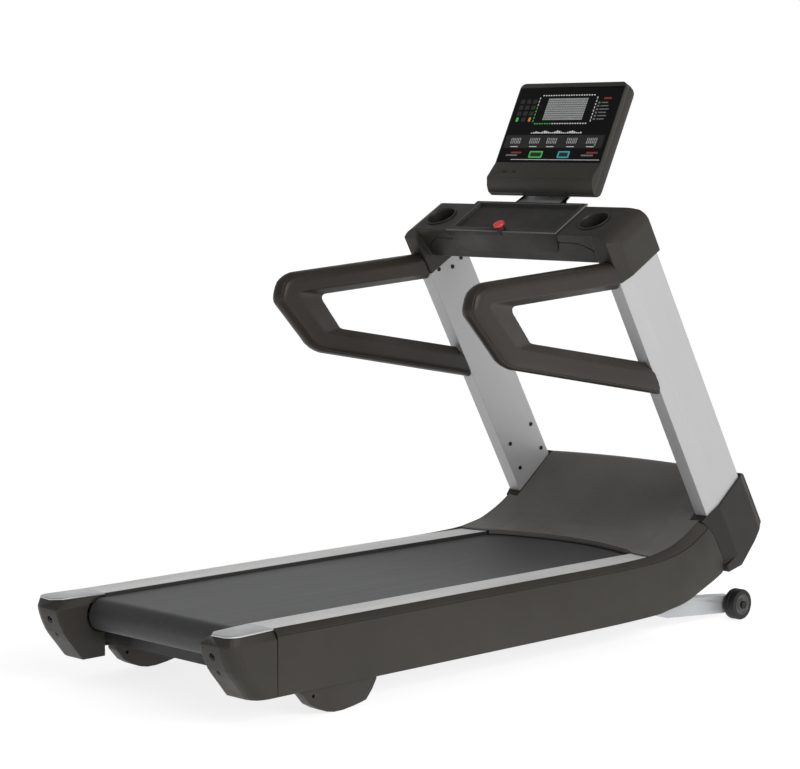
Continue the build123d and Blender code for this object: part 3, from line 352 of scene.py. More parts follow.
def finish_mesh(name, me, mats, body, stands_for=(), sharp=32, face_mats=None, box_of=None, weld=1e-6):
    if face_mats:
        for f, i in zip(me.polygons, face_mats):
            f.material_index = i
    bm = bmesh.new()
    bm.from_mesh(me)
    bmesh.ops.remove_doubles(bm, verts=bm.verts, dist=weld)
    bmesh.ops.dissolve_degenerate(bm, dist=1e-7, edges=bm.edges)
    bmesh.ops.recalc_face_normals(bm, faces=bm.faces)
    if box_of:
        lo, hi = Vector((1e9,) * 3), Vector((-1e9,) * 3)
        for n in box_of:
            a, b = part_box(n)
            lo, hi = Vector(map(min, lo, a)), Vector(map(max, hi, b))
        for v in bm.verts:
            v.co = Vector(min(max(c, a), b) for c, a, b in zip(v.co, lo, hi))
    bm.to_mesh(me)
    bm.free()
    me.shade_smooth()
    me.set_sharp_from_angle(angle=radians(sharp))
    ob = bpy.data.objects.new(name, me)
    for m in (mats if isinstance(mats, (list, tuple)) else [mats]):
        me.materials.append(m)
    scene.collection.objects.link(ob)
    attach(ob, body)
    if stands_for:
        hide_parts(*stands_for)
    return ob


def body_of(node):
    for b, ns in frame["record"]["behaviour"]["bodies"].items():
        if node in ns:
            return b


def node_bm(node, dissolve=0.6):
    bm = bmesh.new()
    bm.from_mesh(nodes[node].data)
    bmesh.ops.remove_doubles(bm, verts=bm.verts, dist=2e-5)
    bmesh.ops.recalc_face_normals(bm, faces=bm.faces)
    if dissolve:
        bmesh.ops.dissolve_limit(bm, angle_limit=radians(dissolve), verts=bm.verts, edges=bm.edges, use_dissolve_boundaries=False)
    return bm


def soften(node, mat, width=1.5, seg=2, angle=28.0, sharp=32.0, clamp=False, pick=None, max_pass=1):
    """The node's own shape with its hard edges rounded, as a new piece that stands for it."""
    bm = node_bm(node)
    es = [e for e in bm.edges if len(e.link_faces) == 2 and e.calc_face_angle(0.0) > radians(angle) and (pick is None or pick(e))]
    bmesh.ops.bevel(bm, geom=es, offset=width / 1000, offset_type="OFFSET", segments=seg, profile=0.5, affect="EDGES", clamp_overlap=clamp, loop_slide=True)
    me = bpy.data.meshes.new(node + "_look")
    bm.to_mesh(me)
    bm.free()
    return finish_mesh(node + "_look", me, mat, body_of(node), [node], sharp, box_of=[node])


def evaluated(ob):
    bpy.context.view_layer.update()
    dg = bpy.context.evaluated_depsgraph_get()
    me = bpy.data.meshes.new_from_object(ob.evaluated_get(dg))
    old = ob.data
    bpy.data.objects.remove(ob)
    bpy.data.meshes.remove(old)
    return me


def remeshed(node, mat, voxel=2.5, iterations=6, factor=0.5, keep=0.35, sharp=50.0, grow=None):
    """The node's own shape with moulded, rounded edges, as a new piece that stands for it."""
    bm = node_bm(node, 0)
    me = bpy.data.meshes.new(node + "_tmp")
    bm.to_mesh(me)
    bm.free()
    ob = bpy.data.objects.new(node + "_tmp", me)
    scene.collection.objects.link(ob)
    r = ob.modifiers.new("remesh", "REMESH")
    r.mode = "VOXEL"
    r.voxel_size = voxel / 1000
    r.use_smooth_shade = True
    if iterations:
        s = ob.modifiers.new("smooth", "SMOOTH")
        s.factor = factor
        s.iterations = iterations
    if keep < 1:
        d = ob.modifiers.new("decimate", "DECIMATE")
        d.ratio = keep
    me = evaluated(ob)
    me.name = node + "_look"
    me.materials.clear()
    return finish_mesh(node + "_look", me, mat, body_of(node), [node], sharp, box_of=[node])


def offset_poly(pts, d):
    """Closed polygon, turning left, moved inwards by d with mitred corners."""
    n, out = len(pts), []
    for i in range(n):
        a, b, c = Vector(pts[i - 1]), Vector(pts[i]), Vector(pts[(i + 1) % n])
        u, v = (b - a).normalized(), (c - b).normalized()
        nu, nv = Vector((-u.y, u.x)), Vector((-v.y, v.x))
        k = (nu + nv)
        k = k / max(k.length_squared, 0.5) * 2
        out.append(tuple(b + k * d))
    return out


def round_poly(pts, r, seg=4):
    """Closed polygon with rounded corners. r is one radius or one for each corner."""
    n, out = len(pts), []
    rr = r if isinstance(r, (list, tuple)) else [r] * n
    for i in range(n):
        a, b, c = Vector(pts[i - 1]), Vector(pts[i]), Vector(pts[(i + 1) % n])
        u, v = (a - b), (c - b)
        lu, lv = u.length, v.length
        u, v = u / lu, v / lv
        half = acos(max(-1, min(1, u.dot(v)))) / 2
        if rr[i] <= 0 or half > radians(89.2):
            out += [tuple(b)] * (seg + 1)
            continue
        tl = min(rr[i] / tan(half), 0.46 * min(lu, lv))
        rad = tl * tan(half)
        centre_ = b + (u + v).normalized() * (rad / sin(half))
        p0, p1 = b + u * tl - centre_, b + v * tl - centre_
        a0 = atan2(p0.y, p0.x)
        da = atan2(p1.y, p1.x) - a0
        da = (da + pi) % (2 * pi) - pi
        for k in range(seg + 1):
            an = a0 + da * k / seg
            out.append((centre_.x + rad * cos(an), centre_.y + rad * sin(an)))
    return out


def ccw(pts):
    area = sum(a[0] * b[1] - b[0] * a[1] for a, b in zip(pts, pts[1:] + pts[:1]))
    return pts if area > 0 else pts[::-1]


def lofted(rings, closed=True, cap=True, around=False):
    """Quads between rings with the same number of points."""
    n = len(rings[0])
    verts = [p for r in rings for p in r]
    faces = []
    last = len(rings) if around else len(rings) - 1
    for i in range(last):
        a, b = i * n, ((i + 1) % len(rings)) * n
        for j in range(n if closed else n - 1):
            k = (j + 1) % n
            faces.append((a + j, a + k, b + k, b + j))
    if cap and not around:
        faces.append(tuple(range(n))[::-1])
        faces.append(tuple(range((len(rings) - 1) * n, len(rings) * n)))
    return verts, faces


def slab(pts, place, d0, d1, bevel=2.0, seg=3):
    """Outline pushed from depth d0 to d1 with rounded rims. place(u, v, d) gives the point."""
    pts = ccw(list(pts))
    rings = []
    for k in range(seg + 1):
        a = pi / 2 * k / seg
        rings.append((offset_poly(pts, bevel * (1 - sin(a))), d0 + bevel * (1 - cos(a))))
    for k in range(seg, -1, -1):
        a = pi / 2 * k / seg
        rings.append((offset_poly(pts, bevel * (1 - sin(a))), d1 - bevel * (1 - cos(a))))
    return lofted([[place(u, v, d) for u, v in r] for r, d in rings])


def lathe(profile, origin, axis, seg=72, close=True):
    """Profile of (radius, height) turned about an axis. The profile is closed into a ring."""
    axis = Vector(axis).normalized()
    e1 = axis.orthogonal().normalized()
    e2 = axis.cross(e1)
    rings = []
    for k in range(seg):
        a = 2 * pi * k / seg
        d = e1 * cos(a) + e2 * sin(a)
        rings.append([origin + d * (r / 1000) + axis * (h / 1000) for r, h in profile])
    return lofted(rings, closed=close, around=True, cap=False)


def dress(node, mat):
    """Keeps a CAD node as it is and gives it its material."""
    o = nodes[node]
    o.data.materials.clear()
    o.data.materials.append(mat)
    for f in o.data.polygons:
        f.material_index = 0


def table_at(table, y):
    if y <= table[0][0]:
        return table[0][1]
    for (ya, za), (yb, zb) in zip(table, table[1:]):
        if y <= yb:
            return za + (zb - za) * (y - ya) / (yb - ya)
    return table[-1][1]


def smooth_table(table, step=6.0):
    """Monotone cubic through a table of (y, z)."""
    n = len(table)
    h = [table[i + 1][0] - table[i][0] for i in range(n - 1)]
    d = [(table[i + 1][1] - table[i][1]) / h[i] for i in range(n - 1)]
    m = [d[0]] + [0 if d[i - 1] * d[i] <= 0 else 2 * d[i - 1] * d[i] / (d[i - 1] + d[i]) for i in range(1, n - 1)] + [d[-1]]
    out = []
    for i in range(n - 1):
        k = max(1, round(h[i] / step))
        for j in range(k):
            t = j / k
            out.append((table[i][0] + t * h[i],
                        (2 * t**3 - 3 * t**2 + 1) * table[i][1] + (t**3 - 2 * t**2 + t) * h[i] * m[i]
                        + (-2 * t**3 + 3 * t**2) * table[i + 1][1] + (t**3 - t**2) * h[i] * m[i + 1]))
    out.append(table[-1])
    return out


def rounded_path(pts, per=6):
    """Open path through the points, as a centripetal Catmull-Rom curve."""
    ps = [Vector(p) for p in pts]
    ps = [ps[0] * 2 - ps[1]] + ps + [ps[-1] * 2 - ps[-2]]
    out = []
    for i in range(1, len(ps) - 2):
        p0, p1, p2, p3 = ps[i - 1:i + 3]
        t0 = 0.0
        t1 = t0 + max((p1 - p0).length, 1e-6) ** 0.5
        t2 = t1 + max((p2 - p1).length, 1e-6) ** 0.5
        t3 = t2 + max((p3 - p2).length, 1e-6) ** 0.5
        for k in range(per):
            t = t1 + (t2 - t1) * k / per
            a1 = p0 * ((t1 - t) / (t1 - t0)) + p1 * ((t - t0) / (t1 - t0))
            a2 = p1 * ((t2 - t) / (t2 - t1)) + p2 * ((t - t1) / (t2 - t1))
            a3 = p2 * ((t3 - t) / (t3 - t2)) + p3 * ((t - t2) / (t3 - t2))
            b1 = a1 * ((t2 - t) / (t2 - t0)) + a2 * ((t - t0) / (t2 - t0))
            b2 = a2 * ((t3 - t) / (t3 - t1)) + a3 * ((t - t1) / (t3 - t1))
            out.append(b1 * ((t2 - t) / (t2 - t1)) + b2 * ((t - t1) / (t2 - t1)))
    out.append(ps[-2].copy())
    return out


def cut(me, cutters):
    """Boolean difference of closed meshes, each cutter given as (verts, faces)."""
    ob = bpy.data.objects.new("cut_tmp", me)
    scene.collection.objects.link(ob)
    tmp = []
    for i, (v, f) in enumerate(cutters):
        cm = bpy.data.meshes.new(f"cutter{i}")
        cm.from_pydata([tuple(p) for p in v], [], f)
        bm = bmesh.new()
        bm.from_mesh(cm)
        bmesh.ops.recalc_face_normals(bm, faces=bm.faces)
        bm.to_mesh(cm)
        bm.free()
        co = bpy.data.objects.new(f"cutter{i}", cm)
        scene.collection.objects.link(co)
        md = ob.modifiers.new(f"b{i}", "BOOLEAN")
        md.operation = "DIFFERENCE"
        md.solver = "EXACT"
        md.object = co
        tmp.append(co)
    out = evaluated(ob)
    for co in tmp:
        cm = co.data
        bpy.data.objects.remove(co)
        bpy.data.meshes.remove(cm)
    return out


def prism_x(pts, x0, x1):
    """Outline in (Y, Z) pushed along X, as a cutter."""
    pts = ccw(list(pts))
    return lofted([[P(x, y, z) for y, z in pts] for x in (x0, x1)])


def box_x(x0, x1, y0, y1, z0, z1):
    return prism_x([(y0, z0), (y1, z0), (y1, z1), (y0, z1)], x0, x1)


# ------------------------------------------------------------------ running belt
def belt_piece():
    blo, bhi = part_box("running_belt")
    half = bhi.x * 1000
    zc = (blo.z + bhi.z) / 2 * 1000
    ro = (bhi.z - blo.z) / 2 * 1000
    t = 2.5
    y0, y1 = blo.y * 1000 - SHY + ro, bhi.y * 1000 - SHY - ro
    path = []
    n = 60
    for k in range(n):
        path.append((y0 + (y1 - y0) * k / n, 0, pi / 2))
    for k in range(24):
        path.append((y1, 1, pi / 2 - pi * k / 24))
    for k in range(n):
        path.append((y1 + (y0 - y1) * k / n, 0, -pi / 2))
    for k in range(24):
        path.append((y0, 1, -pi / 2 - pi * k / 24))
    c = 0.7
    sec = [(-half + c, 0), (-half, c), (-half, t - c), (-half + c, t), (half - c, t), (half, t - c), (half, c), (half - c, 0)]
    mid = [(-half * f, 0) for f in (-0.75, -0.5, -0.25, 0, 0.25, 0.5, 0.75)]
    rings = []
    for yc, turn, an in path:
        ring = []
        for x, d in sec:
            r = ro - d
            ring.append(P(x, yc + r * cos(an), zc + r * sin(an)))
        rings.append(ring)
    v, f = lofted(rings, around=True, cap=False)
    make("running_belt_look", v, f, BELT, "base", ["running_belt"], 40)


belt_piece()


# ------------------------------------------------------------------ side skirts
bottom_line = smooth_table([(-901.2, 70), (300, 70), (400, 70.5), (488, 72), (578, 75), (623, 82), (669, 88), (715, 99), (762, 117), (809, 135), (837, 146), (890, 172)])
top_line = smooth_table([(-901.2, 241), (300, 241), (400, 241.6), (508, 244.5), (553, 247.3), (598, 254.5), (643, 263), (689, 280), (726, 297), (758, 315), (790, 336), (890, 413)])
groove_line = smooth_table([(-901.2, 224), (300, 224), (400, 224.4), (492, 226), (581, 231), (650, 241), (719, 261), (765, 283), (793, 300), (890, 368)])
boot_edge = [(-1200, 0), (879, 0), (879, 168), (863.2, 215), (824, 279), (785.2, 314), (768.5, 323.5), (768.5, 480), (-1200, 480)]


def skirt_piece(side, name):
    xo, w = 400.0, 3.5
    rings = []
    ys = [-901.2, -900.4] + [-898 + 25 * i for i in range(48)] + [302 + 7 * i for i in range(84)] + [890]
    for y in ys:
        zb, zt, zg = table_at(bottom_line, y), table_at(top_line, y), table_at(groove_line, y)
        sec = [(xo - w, zb), (xo, zb), (xo, zg - 2.0), (xo - 2.9, zg - 1.2), (xo - 2.9, zg + 1.2), (xo - 1.3, zg + 2.4),
               (382.8, zt), (381.4, zt - 0.5), (381.4, zt - 4), (xo - w - 3.4, zg - 1.0), (xo - w, zg - 6)]
        rad = [1.0, 2.2, 0.5, 0.3, 0.3, 0.7, 1.0, 0.4, 0.6, 1.0, 2.0]
        sec = ccw(sec)
        sec2 = round_poly(sec, rad, 3)
        rings.append([P(side * x, y, z) for x, z in sec2])
    v, f = lofted(rings)
    me = bpy.data.meshes.new(name)
    me.from_pydata([tuple(p) for p in v], [], f)
    bm = bmesh.new()
    bm.from_mesh(me)
    bmesh.ops.remove_doubles(bm, verts=bm.verts, dist=2e-6)
    bmesh.ops.recalc_face_normals(bm, faces=bm.faces)
    bm.to_mesh(me)
    bm.free()
    keep_out = [(879, 0), (1300, 0), (1300, 600), (768.5, 600), (768.5, 323.5), (785.2, 314), (824, 279), (863.2, 215), (879, 168)]
    me = cut(me, [prism_x(keep_out, side * 370 if side > 0 else -410, 410 if side > 0 else -370)])
    me.name = name + "_look"
    finish_mesh(name + "_look", me, BROWN, "base", [name], 30, box_of=[name], weld=3e-6)


skirt_piece(1, "side_skirt_right")
skirt_piece(-1, "side_skirt_left")

# ------------------------------------------------------------------ motor hood
H_EDGE = [(556, 246), (590, 252), (643, 262.5), (689, 279.5), (708, 288), (726, 296.5), (758, 314.5), (796, 340), (830, 366.8), (865, 394.3), (900, 421.8), (925, 441), (940, 449.5), (952, 450.5), (966, 443), (985, 420), (1010, 388), (1030, 362), (1043, 340), (1045, 300), (1010, 243), (948, 176)]
H_MID = [(648, 247), (675, 251.5), (706, 259.5), (735, 268), (744, 272), (757, 281), (775, 295), (800, 318.5), (832, 351), (866, 386.5), (901, 420.5), (925, 443.5), (940, 456), (954, 459.5), (970, 453), (989, 427), (1013, 392), (1032, 363), (1043, 340), (1045, 300), (1010, 243), (948, 176)]
H_PLAN = [(0, 648.0), (95, 641.5), (190, 620.0), (235, 607.0), (262, 596.0), (291, 575.0), (330, 563.0), (380.4, 556.0)]
plan_smooth = smooth_table(H_PLAN, 4.0)


def hood_piece():
    nx = 96
    rows = []
    for i in range(nx + 1):
        x = -380.4 + 760.8 * i / nx
        a = abs(x)
        k = (table_at(plan_smooth, a) - 556.0) / 92.0
        crown = 1.0 - (a / 380.4) ** 2
        pts = []
        for j, (e, m_) in enumerate(zip(H_EDGE, H_MID)):
            w = min(1.0, max(0.0, (j - 8) / 5))
            kk = k + (crown - k) * w
            pts.append((e[0] + (m_[0] - e[0]) * kk, e[1] + (m_[1] - e[1]) * kk))
        prof = [(q.x, q.y) for q in rounded_path(pts, 6)]
        prof = [(prof[0][0], 243.2), (prof[0][0] + 0.1, prof[0][1] - 1.2)] + prof[1:]
        rows.append((x, prof))
    t = 3.5
    rings = []
    for x, prof in rows:
        n = len(prof)
        inner = []
        for j in range(n):
            a, b = prof[max(0, j - 1)], prof[min(n - 1, j + 1)]
            dx, dz = b[0] - a[0], b[1] - a[1]
            L = sqrt(dx * dx + dz * dz)
            inner.append((prof[j][0] + dz / L * t, prof[j][1] - dx / L * t))
        inner[0] = (prof[0][0] + t, 243.2)
        inner[1] = (prof[1][0] + t, 243.8)
        rings.append([P(x, y, z) for y, z in prof] + [P(x, y, z) for y, z in inner[::-1]])
    v, f = lofted(rings)
    me = bpy.data.meshes.new("hood_tmp")
    me.from_pydata([tuple(p) for p in v], [], f)
    bm = bmesh.new()
    bm.from_mesh(me)
    bmesh.ops.triangulate(bm, faces=[fc for fc in bm.faces if len(fc.verts) > 4])
    bmesh.ops.recalc_face_normals(bm, faces=bm.faces)
    bm.to_mesh(me)
    bm.free()
    side = [(769.5, 150), (769.5, 318), (776.2, 326), (796.0, 342.5), (937, 453.5), (943, 480), (1100, 480), (1100, 150)]
    cutters = [prism_x(side, 345.9, 400), prism_x(side, -400, -345.9)]
    cutters += [box_x(338, 383, 700, 992, 150, 202), box_x(-383, -338, 700, 992, 150, 202), box_x(180, 230, 1030, 1060, 312, 346)]
    me = cut(me, cutters)
    finish_mesh("motor_hood_look", me, HOOD_PAINTED_LIGHT, "base", ["motor_hood"], 38, box_of=["motor_hood"], weld=3e-6)


hood_piece()

# ------------------------------------------------------------------ rear feet
foot_pts = [(-812, 119.9), (-815, 64), (-784, 29), (-760, 16), (-730, 4.5), (-706, 0), (-676, 0), (-640, 4.5), (-610, 10), (-593, 14), (-572, 38), (-556, 64), (-560, 119.9)]
for side, nm in ((1, "right"), (-1, "left")):
    v, f = slab(round_poly(ccw(foot_pts), 9, 3), lambda u, w_, d: P(side * d, u, w_), 356, 394, 2.5)
    me = bpy.data.meshes.new("foot_tmp")
    me.from_pydata([tuple(p) for p in v], [], f)
    hole = lathe([(0.01, -60), (5, -60), (5, 60), (0.01, 60)], P(side * 375, -778, 52), (1, 0, 0), 32)
    me = cut(me, [hole])
    finish_mesh("rear_foot_" + nm + "_look", me, BROWN, "base", ["rear_foot_" + nm], 32, box_of=["rear_foot_" + nm])

# ------------------------------------------------------------------ wheels
for side, nm in ((1, "right"), (-1, "left")):
    lo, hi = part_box("wheel_" + nm)
    c = (lo + hi) / 2
    h = (hi.x - lo.x) / 2 * 1000
    R = (hi.z - lo.z) / 2 * 1000
    prof = [(6.05, -h), (17, -h), (18.5, -h + 2), (26, -h + 3), (29, -h + 1.0), (31, -h), (R - 5, -h), (R - 1.6, -h + 1.4), (R, -h + 5), (R, -4.2), (R - 1.1, -3.2), (R - 1.1, 3.2), (R, 4.2), (R, h - 5),
            (R - 1.6, h - 1.4), (R - 5, h), (31, h), (29, h - 1.0), (26, h - 4.4), (18.5, h - 4.4), (17, h - 1), (15.8, h), (6.05, h)]
    v, f = lathe(prof, c, (side, 0, 0), 96)
    n = len(prof)
    fm = []
    for k in range(96):
        for j in range(n):
            fm.append(0 if 5 <= j <= 15 else 1)
    make("wheel_" + nm + "_look", v, f, [TYRE, HUB], "wheel_" + nm, ["wheel_" + nm], 32, fm)

# ------------------------------------------------------------------ cup holders, stop button and its collar
up_axis = Vector((0, -ST, CT))
for side, nm in ((1, "right"), (-1, "left")):
    base = TS(side * 301.0, 83.0, 0)
    s0, s1, r = 98.0, 180.5, 42.0
    prof = [(0.01, s0), (r + 1, s0), (r + 3, s0 + 3), (r + 3, 176.6), (r + 5.2, 176.6), (r + 6.4, 177.6), (r + 6.5, 178.8), (r + 5.6, 180.0), (r + 3.6, s1), (r + 1.8, 179.9), (r + 0.4, 178.0), (r, 175.0),
            (r - 0.2, 108), (r - 2.5, 103), (r - 7, 101), (0.01, 101)]
    v, f = lathe(prof, base, up_axis, 96)
    make("cup_holder_" + nm + "_look", v, f, BROWN_DARK, "base", ["cup_holder_" + nm], 35)
es = TS(0, 14.0, 0)
v, f = lathe([(8.6, 171.5), (8.6, 189.2), (9.3, 190), (11.3, 190), (12.5, 189.5), (13, 188.2), (13, 180.6), (12.6, 180.1), (12.6, 179.5), (13, 179.0), (13, 168), (0.01, 168), (0.01, 171.5)], es, up_axis, 72)
make("estop_collar_look", v, f, BLACK_P, "base", ["estop_collar"], 35)
v, f = lathe([(0.01, 177), (8.5, 177), (8.5, 195.6), (15.6, 195.6), (16.6, 196.0), (17, 197.0), (17, 200.2), (16.6, 201.9), (15.4, 203.0), (13.6, 203.5), (8, 203.4), (0.01, 203.3)], es, up_axis, 72)
make("estop_button_look", v, f, RED, "estop", ["estop_button"], 50)

# ------------------------------------------------------------------ moulded pieces with rounded edges
for nm in ("right", "left"):
    remeshed("handle_" + nm, BROWN_GRIP, 2.6, 4, 0.5, 0.4)
    soften("handle_rim_" + nm, BROWN_GRIP, 1.0, 2)
    remeshed("upright_boot_" + nm, BOOT_PAINTED_SHADE, 1.8, 2, 0.5, 0.35)
    remeshed("rear_end_cap_" + nm, BROWN, 2.0, 4, 0.5, 0.35)
    soften("rear_cap_plate_" + nm, PLATE, 0.8, 2)
    soften("upright_" + nm, UPRIGHT, 1.2, 2, sharp=12.0)
    soften("lift_arm_" + nm, ARM, 2.0, 2)
remeshed("console_upper_shell", BROWN, 2.2, 6, 0.5, 0.4)
remeshed("console_lower_shell", BROWN, 2.2, 6, 0.5, 0.4)
tray_look = soften("accessory_tray", [TRAY, TRAY_RIM_PAINTED_HIGHLIGHT, BROWN], 1.0, 2)
up_s = Vector((0, -ST, CT))
up_t = Vector((0, CT, ST))
origin_ts = TS(0, 0, 0)
# The rim's edge faces take the lighter rim copy, a painted highlight; the recess keeps the tray moulding.
for f in tray_look.data.polygons:
    q = f.center - origin_ts
    t_, s_ = q.dot(up_t) * 1000, q.dot(up_s) * 1000
    rim_zone = t_ < 23.9 or t_ > 156.1 or abs(q.x) > 0.2001
    f.material_index = 2 if (t_ < 23 and s_ < 176) else (1 if rim_zone and s_ > 178 and abs(f.normal.dot(up_s)) < 0.985 else 0)
soften("display_front_bezel", BEZEL, 1.5, 2)
soften("display_rear_housing", BEZEL, 2.0, 2)
soften("display_neck", NECK, 1.0, 2)
soften("hood_lip", HOOD_PAINTED_LIGHT, 1.0, 2)
soften("display_glass", GLASS, 0.4, 1)

# ------------------------------------------------------------------ printed and lit areas of the screen
INK_WHITE = print_ink("ink_white", srgb(226, 228, 226), 0.5)
INK_GREY = print_ink("ink_grey", srgb(142, 144, 144), 0.08)
INK_MATRIX = print_ink("ink_matrix", srgb(186, 188, 188), 0.22)
INK_DIM = print_ink("ink_dim", srgb(32, 33, 33))
INK_BAND = print_ink("ink_band", srgb(16, 17, 17))
INK_GREEN = print_ink("ink_green", srgb(60, 200, 84), 0.5)
INK_ORANGE = print_ink("ink_orange", srgb(236, 130, 46), 0.5)
INK_RED = print_ink("ink_red", srgb(176, 40, 44), 0.15)
INK_TEAL = print_ink("ink_teal", srgb(60, 180, 186), 0.4)
INKS = [INK_WHITE, INK_GREY, INK_DIM, INK_GREEN, INK_ORANGE, INK_RED, INK_TEAL, INK_BAND, INK_MATRIX]
art_v, art_f, art_m = [], [], []


def on_screen(x, z, d):
    return P(x, 523.0 + (z - 1376.0) * 0.493 + d * 0.8969, z - d * 0.4422)


def patch(x0, z0, x1, z1, ink, r=0.8, d0=0.12, d1=0.24):
    v, f = lofted([[on_screen(x, z, d) for x, z in round_poly([(x0, z0), (x1, z0), (x1, z1), (x0, z1)], r, 2)] for d in (d0, d1)])
    k = len(art_v)
    art_v.extend(v)
    art_f.extend(tuple(i + k for i in q) for q in f)
    art_m.extend([ink] * len(f))


for row in range(4):
    for col in range(3):
        ink = {(3, 0): 3, (3, 2): 4}.get((row, col), 2)
        cx, cz = -178 + 25 * col, 1556 - 17.8 * row
        hw = 4.6 if ink > 2 else 8.5
        patch(cx - hw, cz - 6.2, cx + hw, cz + 6.2, ink, 2.0)
ring = [(-112 + 8 + 10 * k, -112 + 14 + 10 * k) for k in range(21)]
for k, (x0, x1) in enumerate(ring):
    patch(x0, 1572.0, x1, 1575.0, 0, 0.5)
    patch(x0, 1488.5, x1, 1491.5, 3 if k < 7 else 0, 0.5)
for k in range(8):
    z0 = 1495 + 9.6 * k
    patch(-113.5, z0, -110.5, z0 + 6, 3 if k < 5 else 0, 0.5)
    patch(112.5, z0, 115.5, z0 + 6, 0, 0.5)
for i in range(24):
    for j in range(10):
        patch(-76 + 6.5 * i, 1500.5 + 6.5 * j, -76 + 6.5 * i + 5.6, 1500.5 + 6.5 * j + 5.6, 8, 1.2)
patch(140, 1560.5, 168, 1565.5, 5, 0.8)
for k in range(6):
    patch(122, 1548 - 9.6 * k, 130, 1553 - 9.6 * k, 1, 0.6)
    patch(135, 1549 - 9.6 * k, 160 + (k * 5) % 11, 1552 - 9.6 * k, 1, 0.5)
hills = [3, 5, 8, 6, 4, 7, 11, 9, 6, 4, 5, 8, 12, 10, 6, 4, 3, 6, 9, 11, 8, 5, 4, 6]
for k, h in enumerate(hills):
    patch(-104 + 8.4 * k, 1461, -104 + 8.4 * k + 6.2, 1461 + 0.7 * h, 0, 0.5)
patch(-197, 1418, 190, 1456, 7, 4.0)
for cx in (-153, -77, -9, 70, 147):
    for k in range(3):
        x = cx - 20 + 14 * k
        for dx in (0.0, 7.6):
            patch(x + dx, 1431.5, x + dx + 1.8, 1438.5, 0, 0.3, 0.02, 0.075)
            patch(x + dx, 1440.0, x + dx + 1.8, 1447.0, 0, 0.3, 0.02, 0.075)
        for z0 in (1430.2, 1438.4, 1446.8):
            patch(x + 2.2, z0, x + 7.2, z0 + 1.4, 1, 0.3, 0.02, 0.075)
    patch(cx - 16, 1421, cx + 14, 1423, 0, 0.5, 0.05, 0.12)
patch(160, 1425, 165, 1430, 3, 2.2, 0.02, 0.06)
patch(-158, 1402, -116, 1407, 5, 1.0)
patch(140, 1402, 183, 1407, 5, 1.0)
patch(-176, 1394.5, -130, 1399, 1, 1.0)
patch(122, 1394.5, 168, 1399, 1, 1.0)
patch(-83, 1389, -30, 1409, 3, 2.5)
patch(-78, 1393, -35, 1405, 2, 1.5, 0.05, 0.13)
patch(30, 1389, 76, 1409, 6, 2.5)
patch(36, 1393, 70, 1405, 2, 1.5, 0.05, 0.13)
patch(-150, 1383.2, 198, 1384.6, 0, 0.3)
make("screen_print", art_v, art_f, INKS, "base", (), 30, art_m)

# ------------------------------------------------------------------ CAD nodes that stay, with their finish
for nm in ("right", "left"):
    dress("foot_rail_" + nm, ALU)
    dress("frame_rail_" + nm, STEEL_B)
for nm, mt, sl in [("frame_crossmembers", STEEL_B, "black_steel"), ("deck_board", PHENOL, "deck_phenolic"), ("deck_cushions", RUBBER, "black_rubber"),
                   ("rear_roller", STEEL, "bright_steel"), ("front_roller", STEEL, "bright_steel"), ("roller_axles", STEEL, "bright_steel"),
                   ("drive_motor_housing", MOTOR, "motor_paint"), ("motor_rotor", STEEL, "bright_steel"), ("motor_bracket", STEEL_B, "black_steel"),
                   ("drive_belt", RUBBER, "black_rubber"), ("motor_controller", BOARD, "board_green"), ("rail_supports", STEEL_B, "black_steel"),
                   ("roller_tension_bolts", BOLT_PAINTED_SHADE, "bright_steel"), ("end_cap_screws", BOLT_PAINTED_SHADE, "bright_steel"), ("power_inlet", BLACK_P, "black_plastic"),
                   ("belly_pan", BLACK_P, "black_plastic"), ("lift_cross_tube", STEEL_B, "black_steel"), ("lift_pivot_bolts", BOLT, "bright_steel"),
                   ("wheel_axle_bolts", BOLT_PAINTED_SHADE, "bright_steel"), ("lift_motor", MOTOR, "motor_paint"), ("lift_screw_tube", STEEL, "bright_steel"),
                   ("upright_screws", BOLT_PAINTED_SHADE, "bright_steel")]:
    dress(nm, mt)

# ------------------------------------------------------------------ stage, light and camera
floor_m = Mat("floor_paper")
grain_n = floor_m.noise(120.0, 3.0, 0.6)
floor_m.done(floor_m.mix(floor_m.rng(grain_n, 0.3, 0.7, 0.0, 1.0), (0.44, 0.44, 0.44, 1), (0.46, 0.46, 0.46, 1)), 0.9, floor_m.bump(grain_n, 0.05, 0.0002), Specular_IOR_Level=0.1, Emission_Color=(1, 1, 1, 1), Emission_Strength=0.80)
fv, ff = [], []
nseg = 64
for r_ in (0.0001, 3.0, 8.0, 40.0):
    fv += [Vector((r_ * cos(2 * pi * k / nseg), r_ * sin(2 * pi * k / nseg), cad_lo.z - 0.0004)) for k in range(nseg)]
for i in range(3):
    for k in range(nseg):
        a, b = i * nseg, (i + 1) * nseg
        ff.append((a + k, b + k, b + (k + 1) % nseg, a + (k + 1) % nseg))
fme = bpy.data.meshes.new("floor")
fme.from_pydata([tuple(v) for v in fv], [], ff)
fme.materials.append(floor_m.m)
floor = bpy.data.objects.new("floor", fme)
scene.collection.objects.link(floor)

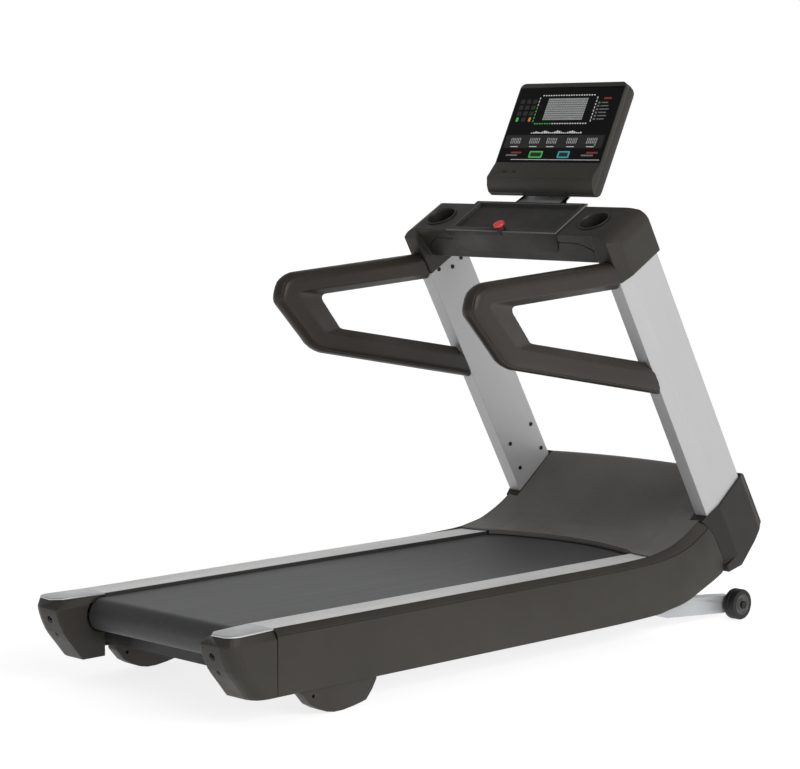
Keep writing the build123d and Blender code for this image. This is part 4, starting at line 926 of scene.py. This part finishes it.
world = bpy.data.worlds.new("studio")
scene.world = world
world.use_nodes = True
wt = world.node_tree
wt.nodes.clear()
wo = wt.nodes.new("ShaderNodeOutputWorld")
bg_light = wt.nodes.new("ShaderNodeBackground")
bg_seen = wt.nodes.new("ShaderNodeBackground")
bg_seen.inputs[0].default_value = (1, 1, 1, 1)
bg_seen.inputs[1].default_value = 1.0
lp = wt.nodes.new("ShaderNodeLightPath")
mx = wt.nodes.new("ShaderNodeMixShader")
tc = wt.nodes.new("ShaderNodeTexCoord")
sx = wt.nodes.new("ShaderNodeSeparateXYZ")
mr = wt.nodes.new("ShaderNodeMapRange")
for k, x in zip(("From Min", "From Max", "To Min", "To Max"), (0.0, 0.75, 1.0, 0.24)):
    mr.inputs[k].default_value = x
wt.links.new(tc.outputs["Generated"], sx.inputs[0])
wt.links.new(sx.outputs[2], mr.inputs["Value"])
my = wt.nodes.new("ShaderNodeMapRange")
for k, x in zip(("From Min", "From Max", "To Min", "To Max"), (-0.9, 0.3, 0.3, 1.0)):
    my.inputs[k].default_value = x
wt.links.new(sx.outputs[1], my.inputs["Value"])
mm = wt.nodes.new("ShaderNodeMath")
mm.operation = "MULTIPLY"
wt.links.new(mr.outputs[0], mm.inputs[0])
wt.links.new(my.outputs[0], mm.inputs[1])
wt.links.new(mm.outputs[0], bg_light.inputs[1])
bg_light.inputs[0].default_value = (1, 1, 1, 1)
wt.links.new(lp.outputs["Is Camera Ray"], mx.inputs[0])
wt.links.new(bg_light.outputs[0], mx.inputs[1])
wt.links.new(bg_seen.outputs[0], mx.inputs[2])
wt.links.new(mx.outputs[0], wo.inputs[0])


def sun(name, towards, strength, angle):
    d = bpy.data.lights.new(name, "SUN")
    d.energy = strength
    d.angle = radians(angle)
    o = bpy.data.objects.new(name, d)
    o.rotation_mode = "QUATERNION"
    o.rotation_quaternion = Vector(towards).to_track_quat("-Z", "Y")
    scene.collection.objects.link(o)


def softbox(name, at, aim, size, power):
    d = bpy.data.lights.new(name, "AREA")
    d.shape = "RECTANGLE"
    d.size, d.size_y = size
    d.energy = power
    o = bpy.data.objects.new(name, d)
    o.location = at
    o.rotation_mode = "QUATERNION"
    o.rotation_quaternion = (Vector(aim) - Vector(at)).to_track_quat("-Z", "Y")
    scene.collection.objects.link(o)


sun("key", (-1.0, 0.12, -0.6), 0.72, 35)
sun("fill", (0.4, 0.5, -0.9), 0.25, 70)
softbox("side_box", (3.6, -0.2, 1.9), (0, 0, 0.7), (2.4, 1.6), 35)

cam = bpy.data.cameras.new("camera")
cam.lens = 109.66
cam.sensor_width = 36.0
cam.clip_start, cam.clip_end = 0.1, 200.0
cam_o = bpy.data.objects.new("camera", cam)
cam_o.location = (4.8218, -4.83185, 1.4367)
cam_o.rotation_euler = (radians(84.308), 0.0, radians(45.400))
scene.collection.objects.link(cam_o)
scene.camera = cam_o
scene.view_settings.view_transform = "Standard"
scene.view_settings.look = "None"
